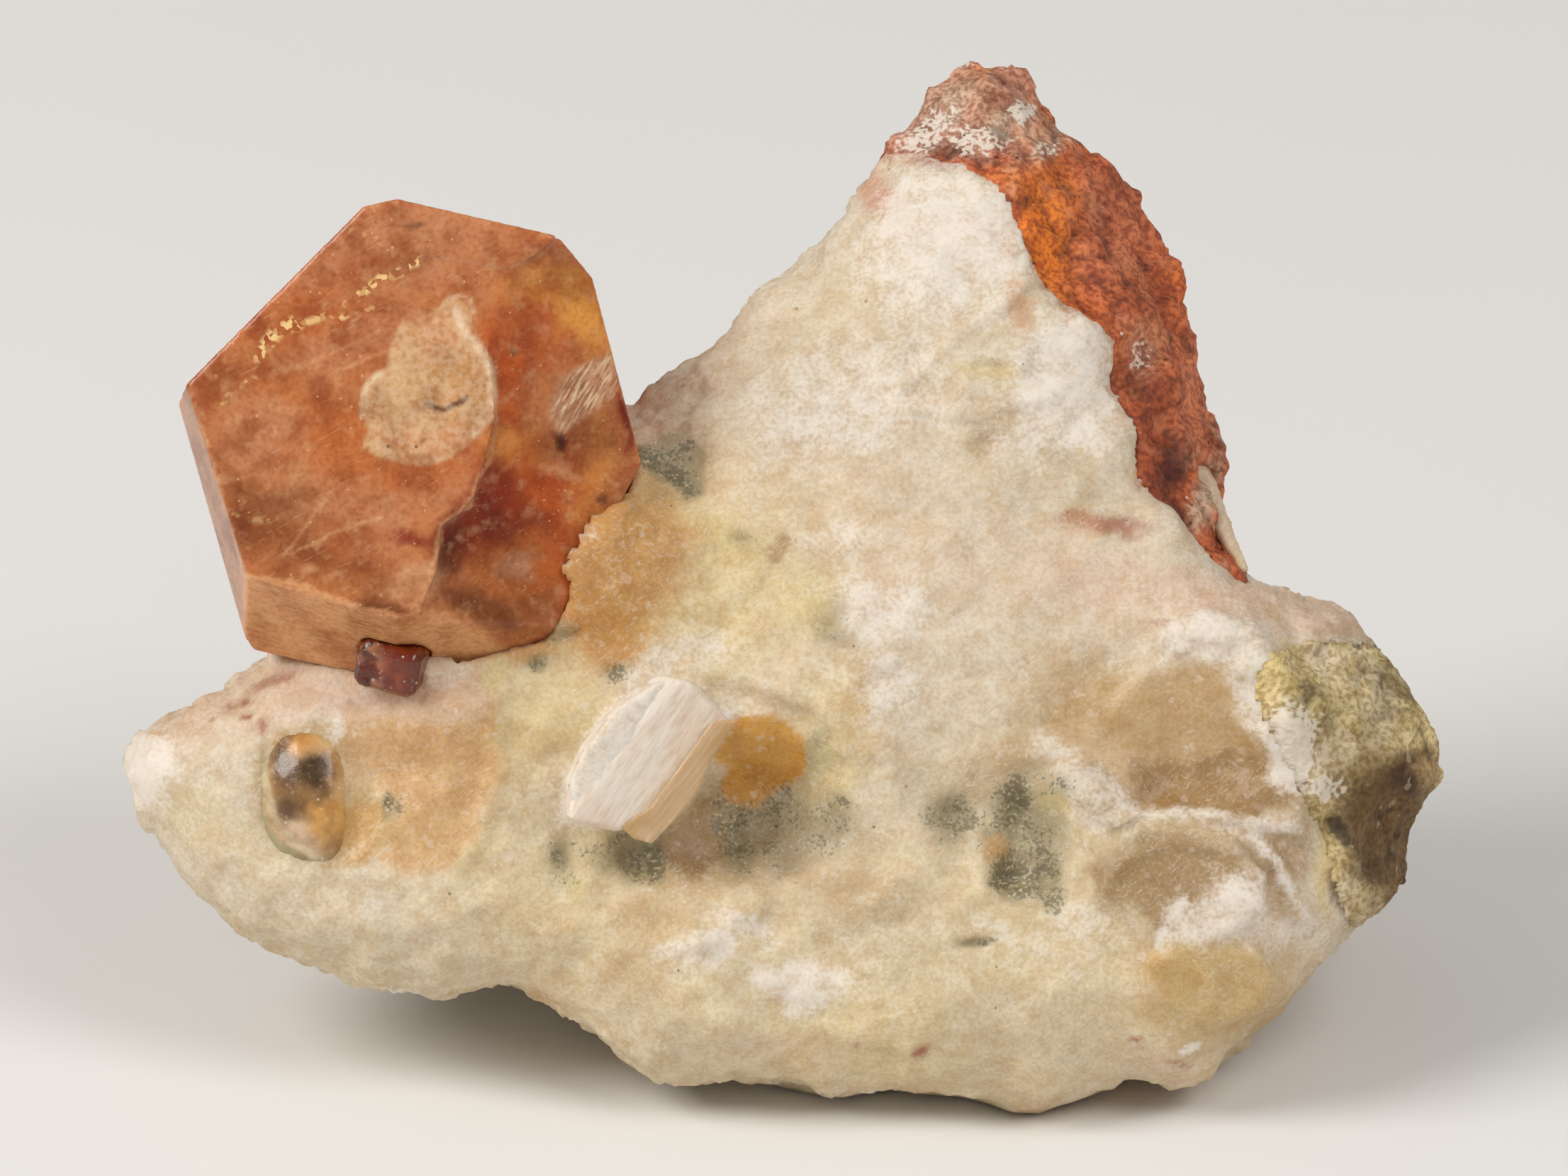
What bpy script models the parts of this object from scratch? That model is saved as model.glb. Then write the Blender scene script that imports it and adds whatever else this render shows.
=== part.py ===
"""Hematoid quartz: a large orange crystal grown on a lump of milky quartz and feldspar.

The specimen stands on a flat cut base, +Z up, with the origin at the bottom centre of its box.
Its broad face looks towards -Y and leans back. Every piece is laid out in the frame of that
face: u to the right, v up the face and w out of the face, in millimetres. An empty carries all
the pieces and stands the face frame up.
"""

import math

import bmesh
import bpy
import numpy as np
from mathutils import Matrix, Vector, noise
from mathutils.bvhtree import BVHTree

MM = 0.001

# How far the broad face leans back, and the height at which the base is cut, below the face frame's origin
LEAN_DEG = 24.0
BASE_DROP = 19.5

# Gap between two pieces that touch
GAP = 0.32

# The lump before its pockets are cut
LUMP_TRIANGLES = 5400
COARSE_VOXEL = 1.4
FINE_VOXEL = 0.95

# How quickly the lump rounds over from its rim to its front and to its back
FRONT_ROUND = 6.5
BACK_ROUND = 13.0
RIM_BEHIND_FRONT = 5.5

# Outline of the lump as its broad face shows it, from the tip of the tail over the peak and round the base
TAIL_TOP = [(-51.6, 2.6), (-50.6, 3.6), (-47.9, 4.5), (-45.6, 5.7), (-42.6, 6.9), (-41.9, 8.6)]
BEHIND_CRYSTAL = [(-38.4, 10.6), (-33.1, 15.4), (-26.4, 19.2), (-20.6, 22.6)]
PEAK_LEFT = [
    (-16.8, 25.3), (-15.2, 26.7), (-13.2, 28.4), (-11.6, 28.8), (-10.3, 30.0), (-9.4, 32.2),
    (-7.4, 33.9), (-5.8, 35.5), (-3.6, 37.2), (-2.2, 38.5), (-1.5, 39.9), (-0.5, 42.1),
    (0.8, 43.8), (2.8, 45.4), (4.4, 47.6), (5.6, 48.6), (6.7, 49.6), (7.9, 49.3),
]
PEAK_RIGHT = [
    (9.2, 48.2), (10.2, 47.0), (10.8, 46.0), (12.0, 45.4), (13.2, 44.0), (14.6, 42.0), (16.0, 41.6),
    (17.2, 40.2), (17.8, 38.7), (19.1, 37.0), (19.5, 35.2), (20.4, 33.6), (20.3, 31.1), (21.5, 29.5),
    (21.8, 26.5), (21.6, 24.0), (22.5, 23.0), (22.8, 20.4), (22.4, 18.0), (22.9, 15.4), (23.9, 13.2),
]
RIGHT_LOBE = [
    (26.1, 12.8), (27.3, 12.1), (29.8, 11.9), (31.3, 11.3), (32.2, 9.8), (34.2, 7.9), (35.4, 6.3),
    (36.6, 4.5), (37.0, 2.6), (37.9, 1.0), (36.9, -1.1), (35.2, -2.7), (34.5, -4.3), (34.7, -6.0),
    (33.9, -7.8), (32.7, -9.0), (31.1, -9.8), (30.4, -11.0), (28.2, -12.2), (27.9, -14.0),
    (26.7, -15.5), (24.3, -17.2), (23.7, -19.1), (21.9, -19.9), (20.8, -20.7),
]
BASE_EDGE = [
    (19.0, -20.6), (17.5, -19.8), (16.0, -19.3), (15.1, -20.4), (12.8, -21.3), (11.0, -22.0),
    (8.8, -22.7), (6.9, -22.0), (3.7, -21.4), (0.3, -20.8), (-2.6, -21.8), (-5.2, -20.6),
    (-7.6, -20.1), (-10.8, -19.6), (-15.2, -20.0), (-17.2, -19.3), (-18.4, -16.9), (-20.8, -16.2),
    (-22.5, -15.1), (-25.6, -13.6), (-28.4, -13.8), (-29.3, -14.8), (-33.0, -14.4),
]
TAIL_UNDER = [
    (-36.0, -14.1), (-37.7, -13.1), (-40.0, -12.3), (-42.9, -11.0), (-44.4, -9.9), (-45.8, -8.4),
    (-47.3, -7.2), (-49.0, -4.1), (-50.9, -1.7), (-51.8, 0.9),
]
OUTLINE = TAIL_TOP + BEHIND_CRYSTAL + PEAK_LEFT + PEAK_RIGHT + RIGHT_LOBE + BASE_EDGE + TAIL_UNDER

# Bosses and hollows of the broad face: u, v, radius and height
FACE_RELIEF = {
    "hollow_under_blade": (-8.8, -1.6, 5.6, -4.2),
    "hollow_floor_left": (-16.0, -5.0, 3.6, -1.6),
    "brow_over_hollow": (-2.4, 6.0, 7.0, 1.2),
    "blade_bed": (-16.8, 1.9, 5.0, 1.2),
    "crystal_seat": (-20.6, 15.6, 7.2, 4.8),
    "crystal_seat_low": (-30.0, 5.2, 5.0, 1.6),
    "pit_by_crystal": (-14.4, 21.1, 2.8, -1.6),
    "dark_pit": (4.8, -1.9, 2.6, -1.3),
    "dark_cleft": (9.6, -4.5, 3.4, -2.0),
    "right_window": (20.6, 1.9, 6.0, -2.2),
    "right_ridge_top": (22.0, 9.4, 4.2, 1.8),
    "right_ridge_side": (26.6, 4.4, 3.2, 1.4),
    "window_sill": (15.5, -1.2, 4.2, 1.0),
    "low_right_boss": (21.6, -7.5, 5.6, 1.6),
    "honey_boss": (22.0, -15.0, 4.6, 1.2),
    "cavity_by_host_rock": (29.2, -3.8, 1.8, -2.6),
    "base_boss_middle": (1.9, -15.8, 7.0, 1.6),
    "base_boss_left": (-12.0, -13.8, 6.0, 1.3),
    "base_dip": (-19.5, -12.0, 4.0, -1.0),
    "tail_boss": (-30.0, -8.0, 7.0, 1.2),
    "peak_swell": (5.0, 30.0, 9.0, 2.0),
    "left_shoulder": (-9.6, 24.5, 7.0, 1.2),
    "mid_face_swell": (3.0, 14.0, 8.0, 1.0),
}

# Front edge of the iron rind on the peak, from the left of the apex down to the notch over the right lobe
RIND_EDGE = [
    (0.6, 43.6), (3.0, 42.6), (5.4, 42.8), (8.4, 41.4), (9.6, 39.4), (9.8, 36.0), (11.0, 32.6),
    (13.6, 30.6), (15.6, 29.6), (15.2, 26.4), (16.4, 23.6), (15.6, 19.8), (19.2, 17.8), (21.2, 14.8),
    (23.4, 13.6),
]
RIND_OUTSIDE = [(60.0, 14.4), (60.0, 70.0), (-20.0, 70.0), (-12.0, 46.0)]
RIND_SLANT = 0.85
RIND_FRONT_W = 3.0
RIND_STEP = 1.2
RIND_SLOPE = 0.62
RIND_FALL = 7.0

# Edge of the grey-green host rock at the right end
HOST_EDGE = [
    (32.6, 9.6), (28.8, 9.8), (26.2, 8.6), (25.2, 6.4), (26.8, 1.9), (28.6, -1.6), (30.0, -4.0),
    (30.4, -6.8), (31.0, -10.0),
]
HOST_OUTSIDE = [(31.4, -30.0), (60.0, -30.0), (60.0, 9.6)]
HOST_SLANT = -0.12
HOST_FRONT_W = 4.0

# Faces of the main crystal: a point that each lies on and the direction it faces
CRYSTAL_MIDDLE = (-32.0, 22.0, 0.0)
CRYSTAL_FACES = {
    "front": ((-47.1, 26.7, 12.0), (-0.12, 0.10, 1.0)),
    "top_left": ((-47.1, 26.7, 12.0), (-0.707, 0.707, -0.12)),
    "top_corner": ((-34.6, 38.75, 12.0), (-0.22, 0.97, -0.05)),
    "top_right": ((-32.9, 39.1, 12.0), (0.2425, 0.970, -0.12)),
    "shoulder": ((-21.5, 35.85, 12.0), (0.75, 0.66, -0.10)),
    "right": ((-20.4, 35.1, 9.0), (0.962, 0.272, -0.10)),
    "right_low": ((-16.2, 22.6, 6.0), (0.88, -0.475, -0.10)),
    "striated": ((-43.2, 13.9, 13.8), (-0.552, -1.422, 1.0)),
    "striated_right": ((-28.8, 10.6, 13.2), (0.30, -1.20, 0.80)),
    "foot": ((-43.4, 8.9, 7.0), (-0.178, -0.984, -0.20)),
    "left": ((-47.1, 26.7, 12.0), (-0.933, -0.271, 0.239)),
    "left_back": ((-46.6, 21.4, 8.0), (-0.963, -0.268, -0.30)),
    "back": ((-32.0, 22.0, -13.0), (0.10, -0.05, -1.0)),
    "back_upper_left": ((-42.5, 31.5, -6.0), (-0.60, 0.45, -0.65)),
    "back_upper_right": ((-25.5, 36.3, -6.5), (0.35, 0.70, -0.62)),
    "back_lower_left": ((-43.5, 11.5, -5.5), (-0.55, -0.50, -0.65)),
}

# The front layer of the crystal ends in a ragged ledge, and the floor beside it slopes to the right
LEDGE_EDGE = [
    (-22.1, 36.6), (-23.5, 35.4), (-25.3, 34.4), (-26.4, 32.2), (-26.9, 30.2), (-26.4, 26.8),
    (-26.3, 24.5), (-26.9, 22.1), (-27.7, 19.2), (-28.6, 18.0), (-29.9, 17.2), (-30.1, 14.4),
    (-30.9, 12.6), (-31.3, 11.4),
]
LEDGE_OUTSIDE = [(-30.5, 0.0), (-8.0, 0.0), (-8.0, 44.0), (-20.5, 44.0)]
LEDGE_FLOOR_POINT = (-26.0, 26.8, 13.5)
LEDGE_FLOOR_SLOPE = (-0.414, 0.087)

# The dark red crystal at the foot of the main one
RED_MIDDLE = (-33.1, 8.2, 10.3)
RED_SIZE = (3.9, 2.9, 4.2)
RED_TURN_DEG = (24.0, -10.0, -15.0)

# Flat-faced grains let into the broad face: outline, how far each stands proud and how deep it goes
GRAINS = {
    "white_blade": (
        [(-15.3, 7.2), (-12.9, 6.6), (-10.4, 4.0), (-12.5, 0.8), (-13.9, -1.3), (-15.8, -2.7),
         (-18.3, -3.3), (-21.5, -2.7), (-21.6, 0.0), (-20.6, 2.2), (-17.9, 5.4)],
        1.1, 3.0,
    ),
    "amber_grain": (
        [(-9.6, 4.5), (-6.6, 4.3), (-5.3, 2.2), (-5.8, 0.2), (-8.6, -1.8), (-10.8, -0.6), (-11.4, 1.2)],
        0.5, 4.0,
    ),
    "smoky_grain": (
        [(17.2, 8.0), (21.0, 8.2), (22.6, 6.2), (24.2, 2.6), (25.6, -0.6), (24.4, -2.2), (17.2, -2.3),
         (13.6, 0.8), (15.0, 5.0)],
        0.35, 4.0,
    ),
    "clear_grain": (
        [(13.6, -5.4), (17.4, -3.0), (23.6, -3.3), (25.6, -6.0), (26.2, -9.0), (22.6, -10.8),
         (18.4, -11.2), (14.9, -9.0)],
        0.45, 4.0,
    ),
    "honey_grain": (
        [(17.2, -11.9), (21.2, -11.6), (25.6, -11.4), (26.9, -13.9), (24.6, -16.0), (21.4, -17.0),
         (18.4, -15.4)],
        0.45, 4.0,
    ),
    "grey_grain": (
        [(-16.9, 21.6), (-15.4, 23.3), (-13.4, 23.5), (-12.4, 22.0), (-12.6, 18.8), (-14.6, 19.7),
         (-16.5, 20.7)],
        0.3, 3.0,
    ),
}
GRAIN_TAPER = 0.72
GRAIN_CHAMFER = 0.45

# The rounded smoky crystal in the tail
ROUND_GRAIN_MIDDLE = (-38.4, -1.0)
ROUND_GRAIN_RADII = (4.1, 5.2, 3.4)
ROUND_GRAIN_TURN_DEG = 14.0
ROUND_GRAIN_PROUD = 1.3

# The pale splinter under the foot of the rind
SPLINTER_ROOT = (20.9, 20.9)
SPLINTER_TIP = (24.2, 14.1)
SPLINTER_RADII = (1.15, 0.35)
SPLINTER_FORWARD = (1.0, 2.0)


# Colour and roughness of each piece
FINISHES = {
    "matrix": ((0.84, 0.78, 0.66), 0.55),
    "main_crystal": ((0.76, 0.36, 0.17), 0.12),
    "red_crystal": ((0.22, 0.04, 0.02), 0.25),
    "iron_rind": ((0.38, 0.13, 0.06), 0.80),
    "host_rock": ((0.46, 0.38, 0.24), 0.80),
    "pale_splinter": ((0.78, 0.70, 0.56), 0.40),
    "round_smoky_crystal": ((0.52, 0.42, 0.27), 0.15),
    "white_blade": ((0.86, 0.80, 0.72), 0.35),
    "amber_grain": ((0.72, 0.46, 0.16), 0.20),
    "smoky_grain": ((0.60, 0.48, 0.33), 0.20),
    "clear_grain": ((0.62, 0.54, 0.38), 0.18),
    "honey_grain": ((0.74, 0.54, 0.26), 0.22),
    "grey_grain": ((0.30, 0.30, 0.22), 0.70),
}


def clear_scene():
    for obj in list(bpy.data.objects):
        bpy.data.objects.remove(obj)


def new_collection(name):
    made = bpy.data.collections.new(name)
    bpy.context.scene.collection.children.link(made)
    return made


def move_to(obj, collection):
    for holder in obj.users_collection:
        holder.objects.unlink(obj)
    collection.objects.link(obj)


def as_object(name, mesh):
    obj = bpy.data.objects.new(name, mesh)
    bpy.context.scene.collection.objects.link(obj)
    return obj


def bake(obj):
    """Replaces an object's mesh by what its modifiers make of it."""
    graph = bpy.context.evaluated_depsgraph_get()
    mesh = bpy.data.meshes.new_from_object(obj.evaluated_get(graph))
    obj.modifiers.clear()
    obj.data = mesh
    return obj


def copy_of(obj, name):
    return as_object(name, obj.data.copy())


def prism(name, outline, low, high):
    """A closed prism on an outline in the face plane, from w = low to w = high."""
    curve = bpy.data.curves.new(name, "CURVE")
    curve.dimensions = "2D"
    curve.fill_mode = "BOTH"
    curve.extrude = (high - low) / 2 * MM
    spline = curve.splines.new("POLY")
    spline.points.add(len(outline) - 1)
    for point, (u, v) in zip(spline.points, outline):
        point.co = (u * MM, v * MM, 0.0, 1.0)
    spline.use_cyclic_u = True
    guide = bpy.data.objects.new(name + "_curve", curve)
    bpy.context.scene.collection.objects.link(guide)
    graph = bpy.context.evaluated_depsgraph_get()
    mesh = bpy.data.meshes.new_from_object(guide.evaluated_get(graph))
    bpy.data.objects.remove(guide)
    mesh.transform(Matrix.Translation((0.0, 0.0, (low + high) / 2 * MM)))
    weld(mesh)
    return as_object(name, mesh)


def weld(mesh, distance=0.002):
    form = bmesh.new()
    form.from_mesh(mesh)
    bmesh.ops.remove_doubles(form, verts=form.verts, dist=distance * MM)
    bmesh.ops.dissolve_degenerate(form, edges=form.edges, dist=distance * MM)
    bmesh.ops.recalc_face_normals(form, faces=form.faces)
    form.to_mesh(mesh)
    form.free()


def shear(mesh, u_per_w=0.0, w_per_u=0.0, w_per_v=0.0, about=(0.0, 0.0, 0.0)):
    """Slants a mesh in the face frame, keeping the point about where it is."""
    slant = Matrix.Identity(4)
    slant[0][2] = u_per_w
    slant[2][0] = w_per_u
    slant[2][1] = w_per_v
    there = Matrix.Translation(Vector(about) * MM)
    mesh.transform(there @ slant @ there.inverted())


def grown(obj, distance=GAP):
    """A copy of a closed body with every face moved out by a distance."""
    copy = copy_of(obj, obj.name + "_grown")
    form = bmesh.new()
    form.from_mesh(copy.data)
    form.normal_update()
    shift = [(vert, vert.normal * distance * MM * vert.calc_shell_factor()) for vert in form.verts]
    for vert, step in shift:
        vert.co += step
    form.to_mesh(copy.data)
    form.free()
    return copy


def boolean(obj, cutter, operation):
    modifier = obj.modifiers.new(operation, "BOOLEAN")
    modifier.operation = operation
    modifier.object = cutter
    bake(obj)
    keep_largest(obj)
    return obj


def keep_largest(obj):
    """Removes the crumbs that a cut leaves, and keeps the largest body."""
    form = bmesh.new()
    form.from_mesh(obj.data)
    bmesh.ops.remove_doubles(form, verts=form.verts, dist=0.002 * MM)
    unseen = set(form.verts)
    bodies = []
    while unseen:
        front = [unseen.pop()]
        body = list(front)
        while front:
            ring = {edge.other_vert(vert) for vert in front for edge in vert.link_edges} & unseen
            unseen -= ring
            front = list(ring)
            body += front
        bodies.append(body)
    bodies.sort(key=len)
    crumbs = [vert for body in bodies[:-1] for vert in body]
    bmesh.ops.delete(form, geom=crumbs, context="VERTS")
    form.to_mesh(obj.data)
    form.free()


def remesh(obj, voxel):
    modifier = obj.modifiers.new("remesh", "REMESH")
    modifier.mode = "VOXEL"
    modifier.voxel_size = voxel * MM
    return bake(obj)


def points_of(obj):
    """Vertices in millimetres, one row each."""
    flat = np.empty(len(obj.data.vertices) * 3)
    obj.data.vertices.foreach_get("co", flat)
    return flat.reshape(-1, 3) / MM


def set_points(obj, points):
    obj.data.vertices.foreach_set("co", (points * MM).ravel())
    obj.data.update()


def line_distance(points, line):
    """Shortest distance of each (u, v) point to an open line."""
    best = np.full(len(points), np.inf)
    for start, end in zip(line, line[1:]):
        start = np.array(start)
        along = np.array(end) - start
        share = np.clip((points - start) @ along / (along @ along), 0.0, 1.0)
        best = np.minimum(best, np.linalg.norm(points - start - share[:, None] * along, axis=1))
    return best


def inside(points, outline):
    """True for each (u, v) point within a closed outline."""
    found = np.zeros(len(points), bool)
    u, v = points[:, 0], points[:, 1]
    for (u0, v0), (u1, v1) in zip(outline, outline[1:] + outline[:1]):
        if v0 == v1:
            continue
        crosses = (v0 > v) != (v1 > v)
        found ^= crosses & (u < u0 + (v - v0) * (u1 - u0) / (v1 - v0))
    return found


def front_level(u, v):
    """Height of the broad face over the face plane, before it is roughened."""
    level = 9.0 - 0.25 * np.maximum(v - 6.0, 0.0)
    level -= 0.28 * np.maximum(u - 24.0, 0.0)
    level -= 0.12 * np.maximum(-30.0 - u, 0.0)
    for middle_u, middle_v, radius, height in FACE_RELIEF.values():
        away = ((u - middle_u) ** 2 + (v - middle_v) ** 2) / radius**2
        level += height * np.exp(-away * 1.4)
    place = np.column_stack([u, v])
    step = RIND_STEP + RIND_SLOPE * line_distance(place, RIND_EDGE)
    return level - inside(place, RIND_EDGE + RIND_OUTSIDE) * np.minimum(step, RIND_FALL)


def back_level(u, v):
    """Depth of the hidden side: deep behind the base, thin at the peak, the tail and the right end."""
    level = np.interp(v, [-25.0, -4.4, 14.7, 32.0, 50.0], [-34.0, -32.6, -26.0, -17.0, -9.0])
    left = np.clip((u + 47.0) / 28.0, 0.0, 1.0)
    right = np.clip((41.0 - u) / 16.0, 0.0, 1.0)
    level = -11.0 + (level + 11.0) * left**0.8
    return -15.0 + (level + 15.0) * right**0.8


def round_over(distance, reach):
    """0 at the rim and 1 from the reach inwards, as a quarter circle."""
    share = np.minimum(distance / reach, 1.0)
    return np.sqrt(1.0 - (1.0 - share) ** 2)


def shape_lump(obj):
    """Turns a flat slab on the outline into the lump, with its front and back levels."""
    points = points_of(obj)
    u, v, side = points.T
    rim_distance = line_distance(points[:, :2], OUTLINE + OUTLINE[:1])
    front = front_level(u, v)
    rim = front - RIM_BEHIND_FRONT
    back = back_level(u, v)
    out = rim + (front - rim) * round_over(rim_distance, FRONT_ROUND) * np.maximum(side, 0.0)
    out -= (rim - back) * round_over(rim_distance, BACK_ROUND) * np.maximum(-side, 0.0)
    points[:, 2] = out
    set_points(obj, points)


def roughness_at(place, is_rind):
    """How far the rock stands out at a place, in millimetres."""
    broad = noise.fractal(place / 13.0, 0.9, 2.0, 3)
    spread, _ = noise.voronoi(place / 5.2 + Vector((3.7, 1.1, 8.2)))
    chip = spread[1] - spread[0]
    grain = noise.fractal(place / 3.0 + Vector((9.0, 4.0, 2.0)), 0.8, 2.1, 2)
    if is_rind:
        knobs, _ = noise.voronoi(place / 4.0)
        return 0.7 * broad + 1.5 * (0.55 - knobs[0]) + 0.35 * grain
    return 0.75 * broad + 0.7 * (0.35 - chip) + 0.35 * grain


def roughen(obj):
    points = points_of(obj)
    normals = np.empty(len(points) * 3)
    obj.data.vertices.foreach_get("normal", normals)
    normals = normals.reshape(-1, 3)
    slanted = points[:, :2].copy()
    slanted[:, 0] -= RIND_SLANT * (points[:, 2] - RIND_FRONT_W)
    rind = inside(slanted, RIND_EDGE + RIND_OUTSIDE)
    heights = [roughness_at(Vector(place), flag) for place, flag in zip(points, rind)]
    set_points(obj, points + normals * np.array(heights)[:, None])


def make_lump():
    """The whole rough stone in one body, before it is parted into its pieces."""
    lump = prism("lump", OUTLINE, -1.0, 1.0)
    remesh_slab(lump)
    shape_lump(lump)
    remesh(lump, FINE_VOXEL)
    smooth(lump, 3)
    roughen(lump)
    decimate(lump, LUMP_TRIANGLES)
    return lump


def remesh_slab(obj):
    """Gives the slab an even grid of vertices, with its faces at w = -1 and w = 1."""
    thick = 6.0 * COARSE_VOXEL
    obj.data.transform(Matrix.Scale(thick, 4, (0.0, 0.0, 1.0)))
    remesh(obj, COARSE_VOXEL)
    obj.data.transform(Matrix.Scale(1.0 / thick, 4, (0.0, 0.0, 1.0)))
    points = points_of(obj)
    points[:, 2] = np.clip(points[:, 2] * 1.1, -1.0, 1.0)
    set_points(obj, points)


def smooth(obj, rounds):
    modifier = obj.modifiers.new("smooth", "SMOOTH")
    modifier.iterations = rounds
    modifier.factor = 0.5
    return bake(obj)


def decimate(obj, triangles):
    obj.data.calc_loop_triangles()
    modifier = obj.modifiers.new("decimate", "DECIMATE")
    modifier.ratio = min(1.0, triangles / len(obj.data.loop_triangles))
    return bake(obj)


def cut_base(obj):
    """Cuts the lump flat where it stands."""
    bpy.ops.mesh.primitive_cube_add(size=0.2)
    ground = bpy.context.object
    ground.name = "ground_cutter"
    lean = math.radians(LEAN_DEG)
    up = Vector((0.0, math.cos(lean), math.sin(lean)))
    ground.data.transform(Matrix.Rotation(-math.radians(90.0 - LEAN_DEG), 4, "X"))
    ground.data.transform(Matrix.Translation(up * (-BASE_DROP * MM - 0.1)))
    return boolean(obj, ground, "DIFFERENCE")


def make_region(name, edge, outside, slant, front_w):
    region = prism(name, edge + outside, -50.0, 30.0)
    shear(region.data, u_per_w=slant, about=(0.0, 0.0, front_w))
    return region


def make_crystal():
    """A cube cut back by each face of the crystal, then by the lower floor beside its ledge."""
    form = bmesh.new()
    bmesh.ops.create_cube(form, size=80.0 * MM, matrix=Matrix.Translation(Vector(CRYSTAL_MIDDLE) * MM))
    for point, facing in CRYSTAL_FACES.values():
        everything = form.verts[:] + form.edges[:] + form.faces[:]
        cut = bmesh.ops.bisect_plane(
            form,
            geom=everything,
            plane_co=Vector(point) * MM,
            plane_no=Vector(facing).normalized(),
            clear_outer=True,
        )
        rim = [part for part in cut["geom_cut"] if isinstance(part, bmesh.types.BMEdge)]
        bmesh.ops.edgeloop_fill(form, edges=rim)
    bmesh.ops.recalc_face_normals(form, faces=form.faces)
    mesh = bpy.data.meshes.new("main_crystal")
    form.to_mesh(mesh)
    form.free()
    crystal = as_object("main_crystal", mesh)

    floor = prism("ledge_cutter", LEDGE_EDGE + LEDGE_OUTSIDE, 0.0, 20.0)
    point_u, point_v, point_w = LEDGE_FLOOR_POINT
    slope_u, slope_v = LEDGE_FLOOR_SLOPE
    shear(floor.data, w_per_u=slope_u, w_per_v=slope_v, about=(point_u, point_v, 0.0))
    floor.data.transform(Matrix.Translation((0.0, 0.0, point_w * MM)))
    return boolean(crystal, floor, "DIFFERENCE")


def make_red_crystal():
    bpy.ops.mesh.primitive_cube_add(size=1.0)
    red = bpy.context.object
    red.name = "red_crystal"
    sizes = Matrix.Diagonal((*RED_SIZE, 1.0 / MM)) * MM
    turn = Matrix.Identity(4)
    for angle, axis in zip(RED_TURN_DEG, "XYZ"):
        turn = Matrix.Rotation(math.radians(angle), 4, axis) @ turn
    red.data.transform(Matrix.Translation(Vector(RED_MIDDLE) * MM) @ turn @ sizes)
    chamfer(red, 0.35)
    return bake(red)


def chamfer(obj, width):
    modifier = obj.modifiers.new("chamfer", "BEVEL")
    modifier.width = width * MM
    modifier.segments = 1
    modifier.limit_method = "ANGLE"
    modifier.angle_limit = math.radians(30.0)
    return obj


def surface_height(tree, u, v):
    """Height of the finished lump over the face plane at (u, v)."""
    hit = tree.ray_cast(Vector((u * MM, v * MM, 0.05)), Vector((0.0, 0.0, -1.0)))[0]
    return hit.z / MM


def local_plane(tree, middle, reach):
    """Mean height and the two slopes of the lump round a middle."""
    u, v = middle
    right = surface_height(tree, u + reach, v)
    left = surface_height(tree, u - reach, v)
    top = surface_height(tree, u, v + reach)
    bottom = surface_height(tree, u, v - reach)
    height = (right + left + top + bottom) / 4
    return height, (right - left) / (2 * reach), (top - bottom) / (2 * reach)


def make_grain(name, tree):
    """A flat-faced grain that tapers as it goes into the rock."""
    outline, proud, depth = GRAINS[name]
    middle = tuple(sum(values) / len(outline) for values in zip(*outline))
    reach = 0.55 * min(math.dist(middle, corner) for corner in outline)
    height, slope_u, slope_v = local_plane(tree, middle, reach)
    grain = prism(name, outline, -depth, proud)
    for vert in grain.data.vertices:
        if vert.co.z < 0.0:
            vert.co.x = (middle[0] + (vert.co.x / MM - middle[0]) * GRAIN_TAPER) * MM
            vert.co.y = (middle[1] + (vert.co.y / MM - middle[1]) * GRAIN_TAPER) * MM
    shear(grain.data, w_per_u=slope_u, w_per_v=slope_v, about=(*middle, 0.0))
    grain.data.transform(Matrix.Translation((0.0, 0.0, height * MM)))
    chamfer(grain, GRAIN_CHAMFER)
    return bake(grain)


def make_round_grain(tree):
    height, _, _ = local_plane(tree, ROUND_GRAIN_MIDDLE, 2.0)
    bpy.ops.mesh.primitive_ico_sphere_add(subdivisions=3, radius=1.0)
    grain = bpy.context.object
    grain.name = "round_smoky_crystal"
    radius_u, radius_v, radius_w = ROUND_GRAIN_RADII
    turn = Matrix.Rotation(math.radians(ROUND_GRAIN_TURN_DEG), 4, "Z")
    size = Matrix.Diagonal((radius_u * MM, radius_v * MM, radius_w * MM, 1.0))
    middle = (*ROUND_GRAIN_MIDDLE, height + ROUND_GRAIN_PROUD - radius_w)
    grain.data.transform(Matrix.Translation(Vector(middle) * MM) @ turn @ size)
    return decimate(grain, 420)


def make_splinter():
    """A tapered shard that lies along the foot of the rind and sticks out past it."""
    ends = []
    for (u, v), forward in zip((SPLINTER_ROOT, SPLINTER_TIP), SPLINTER_FORWARD):
        level = float(front_level(np.array([u]), np.array([v]))[0]) - RIM_BEHIND_FRONT
        ends.append(Vector((u, v, level + forward)))
    root, tip = ends
    form = bmesh.new()
    turn = (tip - root).to_track_quat("Z", "Y").to_matrix().to_4x4()
    bmesh.ops.create_cone(
        form,
        cap_ends=True,
        segments=9,
        radius1=SPLINTER_RADII[0] * MM,
        radius2=SPLINTER_RADII[1] * MM,
        depth=(tip - root).length * MM,
        matrix=Matrix.Translation((root + tip) / 2 * MM) @ turn,
    )
    mesh = bpy.data.meshes.new("pale_splinter")
    form.to_mesh(mesh)
    form.free()
    return as_object("pale_splinter", mesh)


def make_finish(name):
    colour, roughness = FINISHES[name]
    finish = bpy.data.materials.new(name)
    finish.use_nodes = True
    shader = finish.node_tree.nodes["Principled BSDF"]
    shader.inputs["Base Color"].default_value = (*colour, 1.0)
    shader.inputs["Roughness"].default_value = roughness
    shader.inputs["Metallic"].default_value = 0.0
    return finish


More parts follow.
